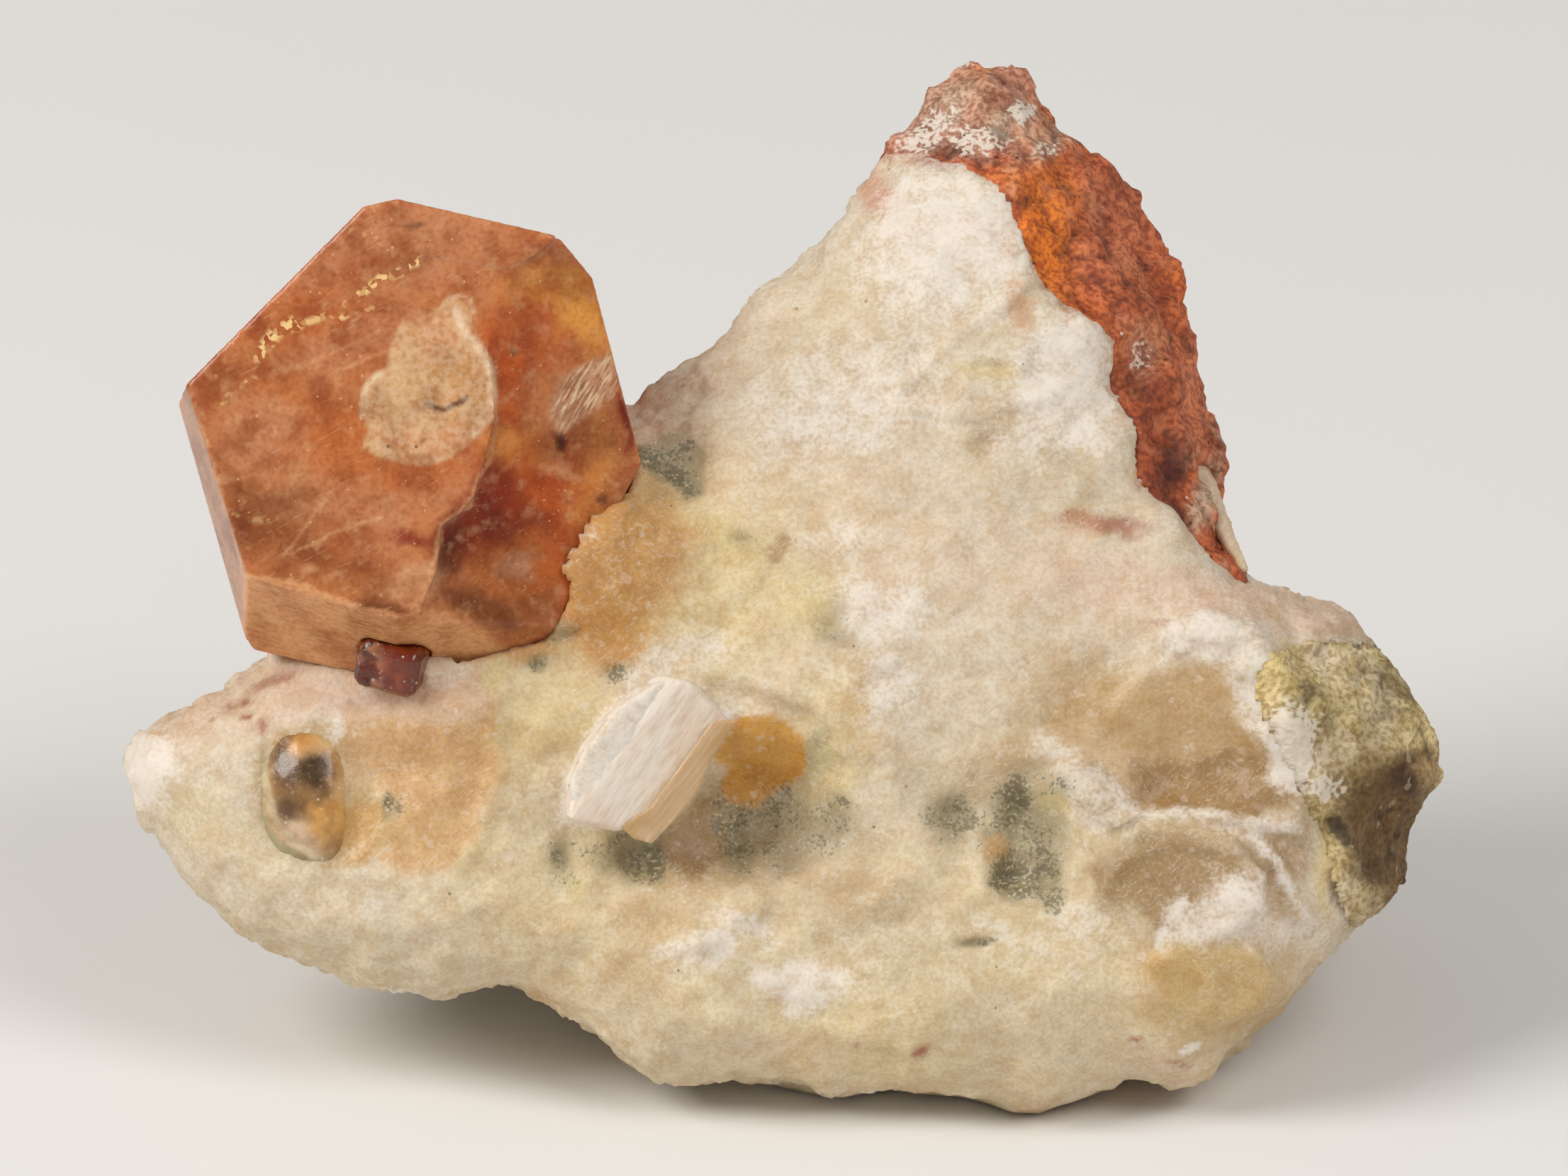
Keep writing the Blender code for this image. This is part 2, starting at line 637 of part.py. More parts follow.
def stand_up(pieces):
    """Parents all pieces to one empty, which leans the face back and rests the base on z = 0."""
    stand = bpy.data.objects.new("face_frame", None)
    bpy.context.scene.collection.objects.link(stand)
    turn = Matrix.Rotation(math.radians(90.0 - LEAN_DEG), 4, "X")
    corners = np.vstack([points_of(piece) @ np.array(turn.to_3x3()).T for piece in pieces]) * MM
    low, high = corners.min(0), corners.max(0)
    stand.rotation_euler.x = math.radians(90.0 - LEAN_DEG)
    stand.location = (-(low[0] + high[0]) / 2, -(low[1] + high[1]) / 2, -low[2])
    for piece in pieces:
        piece.parent = stand


def main():
    clear_scene()
    cutters = new_collection("cutters")
    specimen = new_collection("hematoid_quartz")

    lump = cut_base(make_lump())
    tree = BVHTree.FromObject(lump, bpy.context.evaluated_depsgraph_get())
    crystal = make_crystal()
    red = make_red_crystal()
    round_grain = make_round_grain(tree)
    grains = [make_grain(name, tree) for name in GRAINS]
    splinter = make_splinter()
    rind_region = make_region("rind_region", RIND_EDGE, RIND_OUTSIDE, RIND_SLANT, RIND_FRONT_W)
    host_region = make_region("host_region", HOST_EDGE, HOST_OUTSIDE, HOST_SLANT, HOST_FRONT_W)

    # The rind and the host rock are the lump within their regions, and the matrix is the rest
    rind = boolean(copy_of(lump, "iron_rind"), rind_region, "INTERSECT")
    host = boolean(copy_of(lump, "host_rock"), host_region, "INTERSECT")
    matrix = copy_of(lump, "matrix")
    for region in (rind_region, host_region):
        boolean(matrix, grown(region), "DIFFERENCE")
    for piece in (crystal, red, round_grain, *grains):
        boolean(matrix, grown(piece), "DIFFERENCE")
    boolean(crystal, grown(red), "DIFFERENCE")
    boolean(rind, grown(splinter), "DIFFERENCE")

    pieces = [matrix, crystal, red, rind, host, splinter, round_grain, *grains]
    for piece in pieces:
        weld(piece.data)
        piece.data.materials.clear()
        piece.data.materials.append(make_finish(piece.name))
        move_to(piece, specimen)
    for obj in set(bpy.context.scene.objects) - set(pieces):
        obj.hide_render = True
        obj.display_type = "WIRE"
        move_to(obj, cutters)
    stand_up(pieces)


main()
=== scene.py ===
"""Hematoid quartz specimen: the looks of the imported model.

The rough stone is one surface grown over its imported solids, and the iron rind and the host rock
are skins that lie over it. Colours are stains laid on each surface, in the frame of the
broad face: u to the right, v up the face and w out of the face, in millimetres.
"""

import itertools
import math

import bmesh
import bpy
import numpy as np
from mathutils import Matrix, Vector
from mathutils.bvhtree import BVHTree


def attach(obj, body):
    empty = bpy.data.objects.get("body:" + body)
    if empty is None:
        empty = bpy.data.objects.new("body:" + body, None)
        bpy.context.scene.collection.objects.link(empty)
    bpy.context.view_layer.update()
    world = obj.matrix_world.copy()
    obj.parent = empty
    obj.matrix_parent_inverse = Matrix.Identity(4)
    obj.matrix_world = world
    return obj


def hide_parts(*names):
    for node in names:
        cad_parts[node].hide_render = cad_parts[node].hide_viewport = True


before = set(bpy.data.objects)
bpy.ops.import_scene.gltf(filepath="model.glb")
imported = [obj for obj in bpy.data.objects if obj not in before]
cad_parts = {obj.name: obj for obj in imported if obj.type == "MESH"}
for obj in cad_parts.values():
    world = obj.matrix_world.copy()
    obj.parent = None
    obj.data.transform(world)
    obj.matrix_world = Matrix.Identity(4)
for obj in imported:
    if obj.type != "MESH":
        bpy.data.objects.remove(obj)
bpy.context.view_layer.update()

MM = 0.001

# The broad face leans back, and its own frame stands at this place
LEAN = math.radians(24.0)
FACE_ORIGIN = Vector((7.0975, -7.2714, 19.5))
TO_WORLD = Matrix.Translation(FACE_ORIGIN) @ Matrix.Rotation(math.pi / 2 - LEAN, 4, "X")
TO_FACE = TO_WORLD.inverted()

# The solids that make up the rough stone, the size of its mesh and how far it grows over the gaps
GRAINS = ["amber_grain", "smoky_grain", "clear_grain", "honey_grain", "grey_grain"]
ROCK_NODES = ["matrix", "iron_rind", "host_rock", "round_smoky_crystal", "white_blade"] + GRAINS
ROCK_VOXEL = 0.44
SEAM = 0.2

# Sizes of the broken surface: broad swells, chips, crumbs, the rind's knobs and fine grain
SWELL_SIZE = 6.0
CHIP_SIZE = 3.2
CRUMB_SIZE = 1.2
KNOB_SIZE = 2.8
GRAIN_SIZE = 0.9

# Mesh size of each smaller piece, and how far some of them grow over their gaps
FINE_MESH = {
    "main_crystal": 0.25, "round_smoky_crystal": 0.2, "white_blade": 0.18, "red_crystal": 0.14,
    "pale_splinter": 0.18,
}
GROWTH = {"round_smoky_crystal": 0.5, "white_blade": 0.25, "red_crystal": 0.3}

# Borders of the iron rind and of the host rock on the broad face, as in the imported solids
RIND_EDGE = [
    (0.6, 43.6), (3.0, 42.6), (5.4, 42.8), (8.4, 41.4), (9.6, 39.4), (9.8, 36.0), (11.0, 32.6),
    (13.6, 30.6), (15.6, 29.6), (15.2, 26.4), (16.4, 23.6), (15.6, 19.8), (19.2, 17.8), (21.2, 14.8),
    (23.4, 13.6),
]
RIND_REGION = RIND_EDGE + [(60.0, 14.4), (60.0, 70.0), (-20.0, 70.0), (-12.0, 46.0)]
RIND_SLANT = 0.85
RIND_FRONT_W = 3.0
HOST_EDGE = [
    (32.6, 9.6), (28.8, 9.8), (26.2, 8.6), (25.2, 6.4), (26.8, 1.9), (28.6, -1.6), (30.0, -4.0),
    (30.4, -6.8), (31.0, -10.0),
]
HOST_REGION = HOST_EDGE + [(31.4, -30.0), (60.0, -30.0), (60.0, 9.6)]
HOST_SLANT = -0.12
HOST_FRONT_W = 4.0

# How deep the skins of the rind and the host rock go, and how far the stone draws back under them
SKIN = 0.45
UNDER_SKIN = 0.22

# The stone closes up to these crystals, by this much within this distance
HELD_CRYSTALS = ["main_crystal", "red_crystal", "pale_splinter"]
CLOSE_BY = 0.5
CLOSE_WITHIN = (0.45, 1.5)
FAR_AWAY = 3.0

# The camera: how far it stands from the face, how wide its picture is there and where its middle lies
SENSOR_WIDTH = 36.0
CAMERA_AWAY = 1600.0
PICTURE_WIDTH = 106.18
PICTURE_MIDDLE = (-6.912, 12.984)

# Softboxes: place in metres, power and tone. All are this wide and point at the middle of the stone
SOFTBOX_SIZE = 0.6
STONE_MIDDLE = Vector((0.0, 0.0, 0.03))
SOFTBOXES = {
    "key_softbox": ((-0.72, -0.30, 0.72), 7.0, (1.0, 0.98, 0.95)),
    "fill_softbox": ((0.55, -0.50, 0.85), 4.2, (1.0, 0.98, 0.96)),
}
ROOM_TONE = (0.78, 0.77, 0.76, 1.0)
ROOM_LIGHT = 0.46


def paint(red, green, blue):
    """A colour as the eye reads it, 0 to 255, in the renderer's linear values."""
    return tuple((value / 255) ** 2.2 for value in (red, green, blue))


PAINTS = {name: paint(*tone) for name, tone in {
    # The milky quartz and its stains
    "cream": (226, 209, 184), "white": (232, 221, 206), "cold_white": (226, 216, 204),
    "clear_tan": (186, 152, 106), "frost": (236, 222, 208), "milk": (234, 224, 212),
    "peach": (228, 200, 172), "pink": (220, 184, 160), "pink_cream": (224, 196, 174),
    "butter": (230, 206, 150), "straw": (222, 204, 168), "tan": (202, 168, 120),
    "ochre": (206, 146, 74), "amber": (200, 132, 44), "apricot": (218, 172, 118),
    "honey": (204, 172, 116), "mustard": (212, 154, 64), "smoke": (160, 126, 82),
    "dark_smoke": (112, 90, 56), "grey_quartz": (204, 186, 156), "grey_green": (156, 146, 112),
    "charcoal": (92, 84, 60), "olive": (154, 140, 96), "olive_green": (170, 158, 118),
    "yellow_green": (218, 196, 132), "rust_fleck": (158, 82, 46), "rosy_brown": (220, 168, 140),
    "sand_orange": (208, 150, 108), "smoke_brown": (140, 102, 58), "smoke_dark": (72, 50, 20),
    # The iron rind
    "rust": (220, 116, 66), "orange": (250, 138, 48), "rosy_rust": (216, 134, 96),
    "dark_rust": (158, 78, 44), "pale_rust": (216, 146, 104), "maroon": (84, 34, 20),
    "pale_stone": (212, 190, 162),
    # The host rock
    "khaki": (252, 228, 170), "umber": (100, 68, 26), "dark_umber": (66, 44, 16), "coal": (40, 34, 26),
    # The orange crystal
    "clay": (204, 130, 80), "clay_pink": (206, 144, 104), "clay_pale": (232, 182, 134),
    "clay_light": (232, 172, 118), "clay_brown": (150, 86, 44), "burnt": (200, 110, 50),
    "ember": (204, 88, 8), "deep_ember": (140, 44, 0), "dark_brown": (84, 38, 12),
    # Painted light: the two glowing paints stand for light shining through the crystal, bright near its
    # edges and deep red lower down
    "glow": (246, 176, 84), "mauve_brown": (180, 100, 40), "mauve_pale": (190, 142, 112),
    "red_glow": (140, 32, 12), "fan": (216, 172, 138), "glint_gold": (250, 212, 144),
    # The pale flake inside it
    "flake": (216, 168, 118), "flake_light": (226, 190, 142), "flake_tan": (208, 160, 100),
    "flake_peach": (222, 160, 112), "flake_white": (246, 222, 188),
    # The small dark crystal
    "oxblood": (112, 42, 16), "oxblood_light": (156, 70, 30), "oxblood_dark": (72, 24, 8),
}.items()}

# How soft and how glossy a spot is where its row doesn't say
PLAIN_EDGE = (0.6, 0.0)

# Stains laid one by one. Spots: colour, u, v, radius along, radius across, turn in degrees, strength
# and, for some, the softness of the edge and the gloss
SPOTS = [
    # Broad warm zones of the lower face
    ("butter", -4.0, -14.0, 26.0, 8.0, -8, 0.4, 0.8),
    ("butter", 13.0, -5.0, 13.0, 8.0, 0, 0.35, 0.8),
    ("butter", -22.0, -6.0, 8.0, 6.0, 20, 0.3, 0.8),
    # Painted shadow: a smoky tone over the hollow under the white blade, where the blade's overhang
    # shades it
    ("smoke", -9.6, -3.4, 6.8, 3.6, -4, 0.5, 0.5, 0.3),
    # The tail and its foot
    ("white", -50.9, 1.2, 2.9, 3.4, 0, 0.8, 0.5),
    ("peach", -45.6, 5.5, 7.2, 2.2, 22, 0.85, 0.5),
    ("peach", -39.8, 6.0, 5.3, 2.6, 10, 0.6, 0.5),
    ("rust_fleck", -41.2, 6.9, 1.8, 0.4, 18, 0.75),
    ("rust_fleck", -43.4, 5.5, 0.5, 0.3, 0, 0.8, 0.5),
    ("rust_fleck", -44.5, 5.3, 0.4, 0.2, 0, 0.6, 0.5),
    ("rust_fleck", -43.2, 4.4, 0.4, 0.3, 0, 0.9, 0.5),
    ("rust_fleck", -45.6, 4.2, 0.3, 0.2, 0, 0.7, 0.5),
    ("rust_fleck", -42.1, 3.8, 0.4, 0.5, 0, 0.8, 0.5),
    ("pink", -33.8, 5.5, 7.2, 1.9, -4, 0.7, 0.5),
    ("pink", -28.3, 5.5, 3.4, 1.9, 10, 0.5, 0.5),
    ("butter", -44.2, -4.3, 9.1, 2.2, -38, 0.35),
    ("ochre", -30.7, 1.2, 4.1, 4.6, 0, 0.65, 0.6, 0.5),
    ("butter", -33.1, -2.9, 3.8, 2.2, -10, 0.6, 0.5, 0.5),
    ("ochre", -26.9, 2.9, 1.1, 2.9, 5, 0.5),
    ("butter", -29.3, -3.8, 3.4, 1.9, 0, 0.5, 0.5, 0.3),
    ("cream", -39.8, -9.1, 9.1, 2.9, -22, 0.5),
    ("straw", -35.0, -13.0, 8.2, 1.9, -14, 0.5),
    ("straw", -42.7, -11.0, 5.8, 1.4, -30, 0.45),
    ("ochre", -26.8, 2.1, 1.0, 1.8, 0, 0.7, 0.5, 0.3),
    ("ochre", -31.0, 0.8, 0.7, 1.8, 0, 0.5, 0.5, 0.5),
    ("straw", -29.5, 0.6, 1.8, 1.4, 0, 0.6, 0.5, 0.5),
    ("clay_pink", -31.4, 4.8, 3.4, 1.4, -6, 0.6, 0.6, 0.2),
    ("white", -37.0, 3.6, 0.7, 1.3, 20, 0.7),
    ("grey_green", -33.4, -2.0, 0.8, 1.1, -8, 0.9, 0.5),
    ("charcoal", -33.8, -1.7, 0.35, 0.9, -8, 0.9, 0.5),
    # Round the crystal's foot
    ("ochre", -19.2, 14.9, 6.2, 5.8, 30, 0.8),
    ("amber", -18.6, 11.0, 3.2, 2.4, 20, 0.85),
    ("amber", -17.6, 16.0, 2.4, 1.4, 30, 0.5),
    ("amber", -24.1, 8.9, 2.9, 0.8, 14, 0.8),
    ("amber", -25.4, 11.0, 1.9, 1.2, 30, 0.5),
    ("ochre", -15.4, 19.2, 2.9, 2.4, 0, 0.5),
    ("butter", -21.6, 4.8, 5.3, 3.6, -20, 0.75, 0.5, 0.5),
    ("butter", -25.4, 1.9, 2.9, 2.9, 0, 0.5, 0.5, 0.4),
    ("yellow_green", -26.4, 7.0, 1.2, 0.7, 50, 0.6),
    ("grey_green", -21.6, 9.9, 1.2, 0.8, 20, 0.75, 0.5),
    ("charcoal", -21.7, 9.7, 0.7, 0.4, 20, 0.5),
    ("charcoal", -23.4, 8.0, 0.6, 0.6, 0, 0.7),
    ("charcoal", -18.3, 7.6, 0.7, 0.7, 0, 0.75),
    ("grey_green", -18.3, 7.6, 1.2, 1.1, 0, 0.45, 0.5),
    ("peach", -17.3, 24.0, 3.4, 1.9, 35, 0.6),
    ("peach", -13.9, 25.9, 5.3, 1.9, 38, 0.55),
    # The yellow band under the grey grain
    ("butter", -11.5, 14.4, 7.2, 8.2, -40, 0.7),
    ("yellow_green", -11.0, 16.3, 2.4, 1.4, -40, 0.5),
    ("yellow_green", -4.3, 12.5, 1.9, 2.9, -35, 0.6),
    ("grey_green", -3.6, 10.6, 1.6, 2.2, -35, 0.6),
    ("dark_smoke", -3.1, 9.8, 0.8, 1.2, -35, 0.5),
    ("smoke", -7.3, 15.9, 0.9, 1.0, 0, 0.6, 0.4),
    ("grey_green", -9.7, 16.3, 0.8, 0.8, 0, 0.5),
    ("charcoal", -9.8, 16.4, 0.3, 0.3, 0, 0.5),
    ("ochre", -1.7, 5.5, 1.2, 3.2, -12, 0.5),
    ("butter", -3.4, 4.3, 2.9, 3.8, -15, 0.5),
    ("white", -14.4, 8.2, 4.3, 1.2, 10, 0.5),
    ("white", -0.5, 12.0, 3.8, 2.4, -20, 0.6),
    ("white", 0.0, 6.2, 2.4, 2.9, -10, 0.55),
    ("white", -3.4, 16.3, 2.9, 1.4, -15, 0.4),
    # The hollow under the white blade
    ("yellow_green", -4.1, 0.0, 1.9, 2.4, -20, 0.5),
    ("tan", -13.9, -6.0, 2.9, 1.9, 0, 0.55, 0.6, 0.3),
    ("tan", -15.6, -9.6, 2.9, 1.9, -10, 0.55),
    ("grey_green", -21.5, -5.5, 1.2, 1.7, 15, 0.65, 0.5),
    ("charcoal", -21.7, -5.3, 0.5, 0.8, 15, 0.7),
    ("yellow_green", -20.9, -7.0, 0.7, 0.7, 0, 0.6),
    ("butter", -19.2, -3.8, 1.9, 1.7, 0, 0.4),
    ("dark_smoke", -17.4, -4.4, 2.4, 1.2, 24, 0.8),
    ("grey_green", -16.6, -5.4, 1.8, 1.3, 0, 0.9, 0.5),
    ("charcoal", -15.6, -5.4, 0.5, 1.3, 14, 1.0, 0.5),
    ("charcoal", -10.2, -2.4, 1.2, 1.4, 0, 0.7),
    ("charcoal", -9.8, -4.6, 0.9, 1.8, 10, 0.75),
    ("grey_green", -7.6, -2.6, 2.6, 3.0, -20, 0.8),
    ("grey_green", -4.6, -3.4, 2.4, 2.6, -20, 0.7),
    ("dark_smoke", -8.6, -2.8, 1.2, 1.6, 0, 0.7),
    ("dark_smoke", -3.4, -2.4, 1.0, 1.8, 0, 0.6),
    ("dark_smoke", -6.6, -5.2, 1.4, 1.2, 0, 0.6),
    ("olive_green", -5.0, 1.6, 0.9, 1.8, -30, 0.7),
    # The dark pits
    ("grey_green", 4.7, -2.2, 1.8, 2.0, 0, 1.0, 0.4),
    ("charcoal", 4.8, -2.5, 1.2, 1.3, 0, 0.7, 0.5),
    ("grey_green", 9.4, -3.4, 2.4, 4.6, -8, 0.95, 0.5),
    ("charcoal", 9.0, -2.2, 1.3, 2.0, 0, 0.75, 0.5),
    ("charcoal", 8.4, -6.3, 1.4, 1.4, 0, 0.95, 0.5),
    ("charcoal", 10.8, -6.7, 1.0, 2.0, 0, 0.65),
    ("yellow_green", 11.6, -1.2, 1.6, 1.2, 0, 0.6),
    ("amber", 7.6, -4.7, 0.8, 0.9, 0, 0.8, 0.5),
    ("tan", 8.2, 1.9, 2.4, 1.4, 0, 0.5),
    ("smoke", 7.0, 0.0, 1.9, 1.2, 0, 0.4),
    ("charcoal", 6.0, -10.9, 1.3, 0.3, 6, 0.75),
    # The lower face
    ("white", -5.8, -13.7, 3.4, 1.7, 0, 0.75),
    ("white", -11.5, -11.0, 3.8, 1.4, 20, 0.6),
    ("white", -9.6, -9.6, 2.9, 0.8, -25, 0.6, 0.5),
    ("grey_quartz", 0.0, -9.6, 4.3, 2.4, 0, 0.5, 0.6, 0.5),
    ("tan", -2.4, -7.7, 4.3, 1.9, 0, 0.5, 0.6, 0.4),
    ("straw", 3.4, -13.9, 5.3, 2.9, 0, 0.5, 0.6, 0.3),
    ("butter", -0.5, -18.2, 5.8, 2.4, 0, 0.45),
    ("grey_quartz", 8.6, -17.3, 5.8, 2.9, 10, 0.55, 0.6, 0.6),
    ("straw", 7.2, -20.6, 5.3, 1.4, 6, 0.5, 0.6, 0.4),
    ("grey_quartz", -15.4, -16.3, 2.9, 1.9, -10, 0.4, 0.6, 0.4),
    ("tan", -16.8, -13.0, 2.4, 1.7, 0, 0.4),
    ("rust_fleck", 2.4, -18.3, 0.6, 0.4, 20, 0.85, 0.5),
    ("rust_fleck", -2.1, -17.9, 0.2, 0.3, 0, 0.6, 0.5),
    ("peach", -5.8, -18.2, 4.3, 1.2, -6, 0.35),
    ("white", 13.4, -9.6, 3.4, 1.9, 0, 0.4),
    ("straw", -12.0, -20.2, 5.8, 1.2, -6, 0.5),
    # The right lobe
    ("tan", 18.7, 2.9, 8.6, 5.0, -8, 0.75, 0.4, 0.9),
    ("smoke", 21.1, 0.0, 6.7, 2.2, 2, 0.6, 0.5, 0.9),
    ("smoke", 14.9, -0.5, 2.9, 1.7, -20, 0.35, 0.6, 0.8),
    ("pink", 20.6, 4.8, 1.7, 2.4, 20, 0.4, 0.6, 0.9),
    ("tan", 12.0, 6.7, 3.8, 2.9, 0, 0.4, 0.6, 0.3),
    ("smoke", 21.1, -6.0, 8.2, 3.6, 6, 0.55, 0.4, 0.8),
    ("olive", 16.3, -4.8, 2.9, 2.1, 40, 0.35, 0.6, 0.8),
    ("smoke", 26.4, -4.8, 1.2, 2.9, -30, 0.4, 0.6, 0.6),
    ("white", 23.8, -7.9, 1.6, 1.9, -20, 0.75),
    ("white", 21.1, -9.6, 2.9, 1.6, 0, 0.7),
    ("white", 25.4, -10.1, 2.9, 1.4, 0, 0.6),
    ("honey", 21.6, -14.4, 5.3, 4.3, 0, 0.75, 0.4, 0.9),
    ("mustard", 19.2, -13.0, 2.4, 1.4, 0, 0.45, 0.6, 0.9),
    ("tan", 26.4, -14.4, 2.4, 2.9, 0, 0.45, 0.6, 0.6),
    ("peach", 18.2, -19.0, 2.9, 1.0, -20, 0.5),
    ("rust_fleck", 16.8, -17.6, 0.6, 0.2, -30, 0.75),
    ("rust_fleck", 19.7, -19.2, 0.8, 0.2, -10, 0.6),
    ("white", 20.4, -18.2, 1.0, 0.4, 20, 0.9, 0.4),
    ("pink", 27.4, 11.5, 5.3, 1.4, -14, 0.75, 0.5),
    ("pink", 21.6, 13.0, 2.9, 1.2, -20, 0.6),
    ("olive", 30.2, 9.8, 1.6, 0.7, -10, 0.65),
    ("yellow_green", 26.4, 11.3, 1.0, 0.7, -20, 0.4),
    ("rust_fleck", 18.5, 10.7, 0.8, 0.3, 0, 0.7),
    ("cream", 30.2, -9.1, 2.4, 2.9, 30, 0.7),
    ("white", 28.8, -10.1, 1.9, 1.4, 0, 0.5),
    # The peak
    ("white", 3.8, 37.0, 5.3, 5.8, -30, 0.75),
    ("white", 8.2, 41.3, 2.9, 2.9, 0, 0.6),
    ("cold_white", 12.0, 26.9, 4.3, 5.3, -20, 0.75),
    ("white", 16.3, 29.8, 1.2, 2.9, 0, 0.5),
    ("cold_white", 9.6, 37.0, 1.9, 3.8, -20, 0.6),
    ("grey_quartz", 12.0, 20.2, 3.8, 1.9, -20, 0.5, 0.6, 0.4),
    ("grey_quartz", 8.2, 24.0, 2.9, 1.9, 0, 0.35, 0.6, 0.3),
    ("straw", -3.4, 32.2, 5.8, 2.4, 45, 0.45),
    ("straw", 2.4, 28.8, 5.8, 2.9, 0, 0.35),
    ("cold_white", -2.4, 25.9, 7.7, 4.3, 20, 0.5),
    ("peach", -7.2, 20.2, 8.2, 2.9, -20, 0.35),
    ("peach", 7.2, 14.4, 9.6, 2.9, -6, 0.4),
    ("pink", 16.8, 13.0, 5.8, 1.9, -20, 0.4),
    ("rosy_brown", -1.3, 40.6, 1.1, 3.4, 32, 0.85, 0.5),
    ("rosy_brown", 0.7, 43.9, 1.2, 2.4, 45, 0.75),
    ("rust_fleck", 3.3, 42.5, 1.2, 1.1, 30, 0.75),
    ("rust_fleck", 4.6, 43.8, 1.1, 0.7, 0, 0.6),
    ("rosy_brown", 3.4, 45.1, 2.4, 1.7, 30, 0.6),
    ("sand_orange", 8.4, 34.6, 0.6, 2.7, 8, 0.5),
    ("sand_orange", 9.1, 31.7, 0.8, 1.2, 0, 0.5),
    ("rust_fleck", 7.2, 37.0, 0.3, 1.2, 10, 0.35),
    ("yellow_green", 7.2, 27.7, 2.1, 0.6, -6, 0.6),
    ("yellow_green", 9.1, 26.6, 2.1, 0.3, -6, 0.6),
    ("grey_green", 7.2, 28.2, 1.0, 0.4, -6, 0.6),
    ("smoke", 6.6, 22.8, 1.4, 0.9, 20, 0.55, 0.5),
    ("straw", 5.3, 23.0, 1.1, 0.7, 0, 0.5),
    ("rust_fleck", 14.9, 17.4, 2.9, 0.6, -6, 0.75),
    ("sand_orange", 13.0, 17.3, 1.9, 0.8, -6, 0.4),
    # The iron rind
    ("orange", 11.0, 37.0, 2.3, 5.4, -4, 1.0, 0.45),
    ("orange", 12.0, 31.4, 1.9, 1.4, 0, 0.6),
    ("orange", 9.7, 40.8, 1.2, 1.0, 30, 0.6),
    ("rosy_rust", 15.4, 37.9, 2.9, 4.3, -10, 0.5),
    ("dark_rust", 15.4, 40.8, 1.0, 0.8, 0, 0.5),
    ("dark_rust", 16.8, 32.2, 1.2, 1.0, 0, 0.5),
    ("dark_rust", 18.7, 32.6, 0.7, 1.9, -10, 0.5),
    ("pale_rust", 18.0, 28.8, 1.4, 1.9, 0, 0.65),
    ("pale_rust", 16.8, 30.2, 1.0, 1.0, 0, 0.5),
    ("dark_rust", 16.3, 23.5, 2.9, 4.8, -15, 0.7),
    ("maroon", 19.4, 21.4, 1.2, 2.4, -20, 0.8),
    ("maroon", 18.8, 17.5, 1.3, 1.2, 0, 0.85),
    ("maroon", 21.1, 13.7, 0.8, 1.2, 0, 0.85),
    ("maroon", 16.9, 26.5, 0.9, 0.6, 0, 0.5),
    ("maroon", 19.9, 14.9, 0.7, 1.4, -20, 0.6),
    ("rosy_rust", 20.9, 25.9, 1.2, 3.8, -6, 0.6),
    ("pale_stone", 21.6, 19.2, 0.9, 2.7, -22, 0.8, 0.5),
    ("rosy_rust", 22.6, 13.4, 1.0, 1.2, 0, 0.6),
    ("rosy_brown", 6.8, 46.6, 4.4, 3.4, 30, 0.85, 0.5),
    ("rust_fleck", 8.2, 46.0, 1.1, 0.7, 0, 0.6),
    ("charcoal", 7.8, 43.7, 0.7, 0.7, 0, 0.6),
    ("pale_stone", 10.8, 43.2, 1.8, 1.2, 20, 0.65),
    ("pale_stone", 4.4, 45.6, 3.0, 1.4, 40, 0.6),
    ("pale_stone", 8.6, 44.4, 1.6, 1.2, 0, 0.6),
    ("frost", 9.2, 45.3, 1.2, 0.8, 0, 0.8),
    ("frost", 3.0, 44.0, 2.6, 1.0, 40, 0.75),
    ("frost", 6.4, 43.4, 2.2, 0.9, 0, 0.7),
    ("frost", 11.0, 42.8, 1.4, 0.7, 20, 0.6),
    ("frost", 5.4, 49.2, 1.0, 0.8, 0, 0.6),
    ("frost", 17.4, 28.6, 0.9, 1.2, 0, 0.5),
    ("dark_rust", 12.4, 42.0, 1.2, 0.9, 0, 0.6),
    ("orange", 6.5, 48.4, 0.8, 1.1, 0, 0.4),
    # The host rock
    ("yellow_green", 27.8, 6.7, 3.4, 2.2, 10, 0.75),
    ("cold_white", 27.0, 2.2, 2.2, 3.0, -10, 0.9),
    ("cold_white", 29.6, -0.6, 1.4, 1.0, 0, 0.6),
    ("grey_quartz", 33.4, 3.6, 1.6, 1.4, 0, 0.6),
    ("cream", 30.7, 7.9, 2.9, 1.5, -10, 0.75),
    ("cream", 33.4, 5.2, 1.2, 2.0, -20, 0.6),
    ("cream", 30.2, 1.6, 2.2, 1.2, 30, 0.7),
    ("grey_green", 30.7, 4.2, 1.3, 1.4, 0, 0.7),
    ("olive", 28.3, 5.5, 1.4, 1.0, 0, 0.5),
    ("butter", 31.6, 0.2, 1.6, 2.0, 10, 0.5),
    ("olive", 34.6, 6.4, 1.8, 2.9, -20, 0.35),
    ("umber", 34.3, -3.8, 3.8, 5.8, 20, 0.9, 0.4),
    ("umber", 36.0, 0.5, 1.9, 1.9, 0, 0.8, 0.5),
    ("dark_umber", 35.3, -0.2, 1.4, 0.7, -40, 0.8),
    ("dark_umber", 32.6, -6.2, 1.4, 1.4, 0, 0.5),
    ("butter", 29.5, -6.0, 0.6, 2.9, 0, 0.8),
    ("coal", 30.6, -3.6, 1.1, 0.55, -60, 0.85, 0.35),
    ("tan", 37.2, 1.4, 0.7, 1.9, -30, 0.6),
]

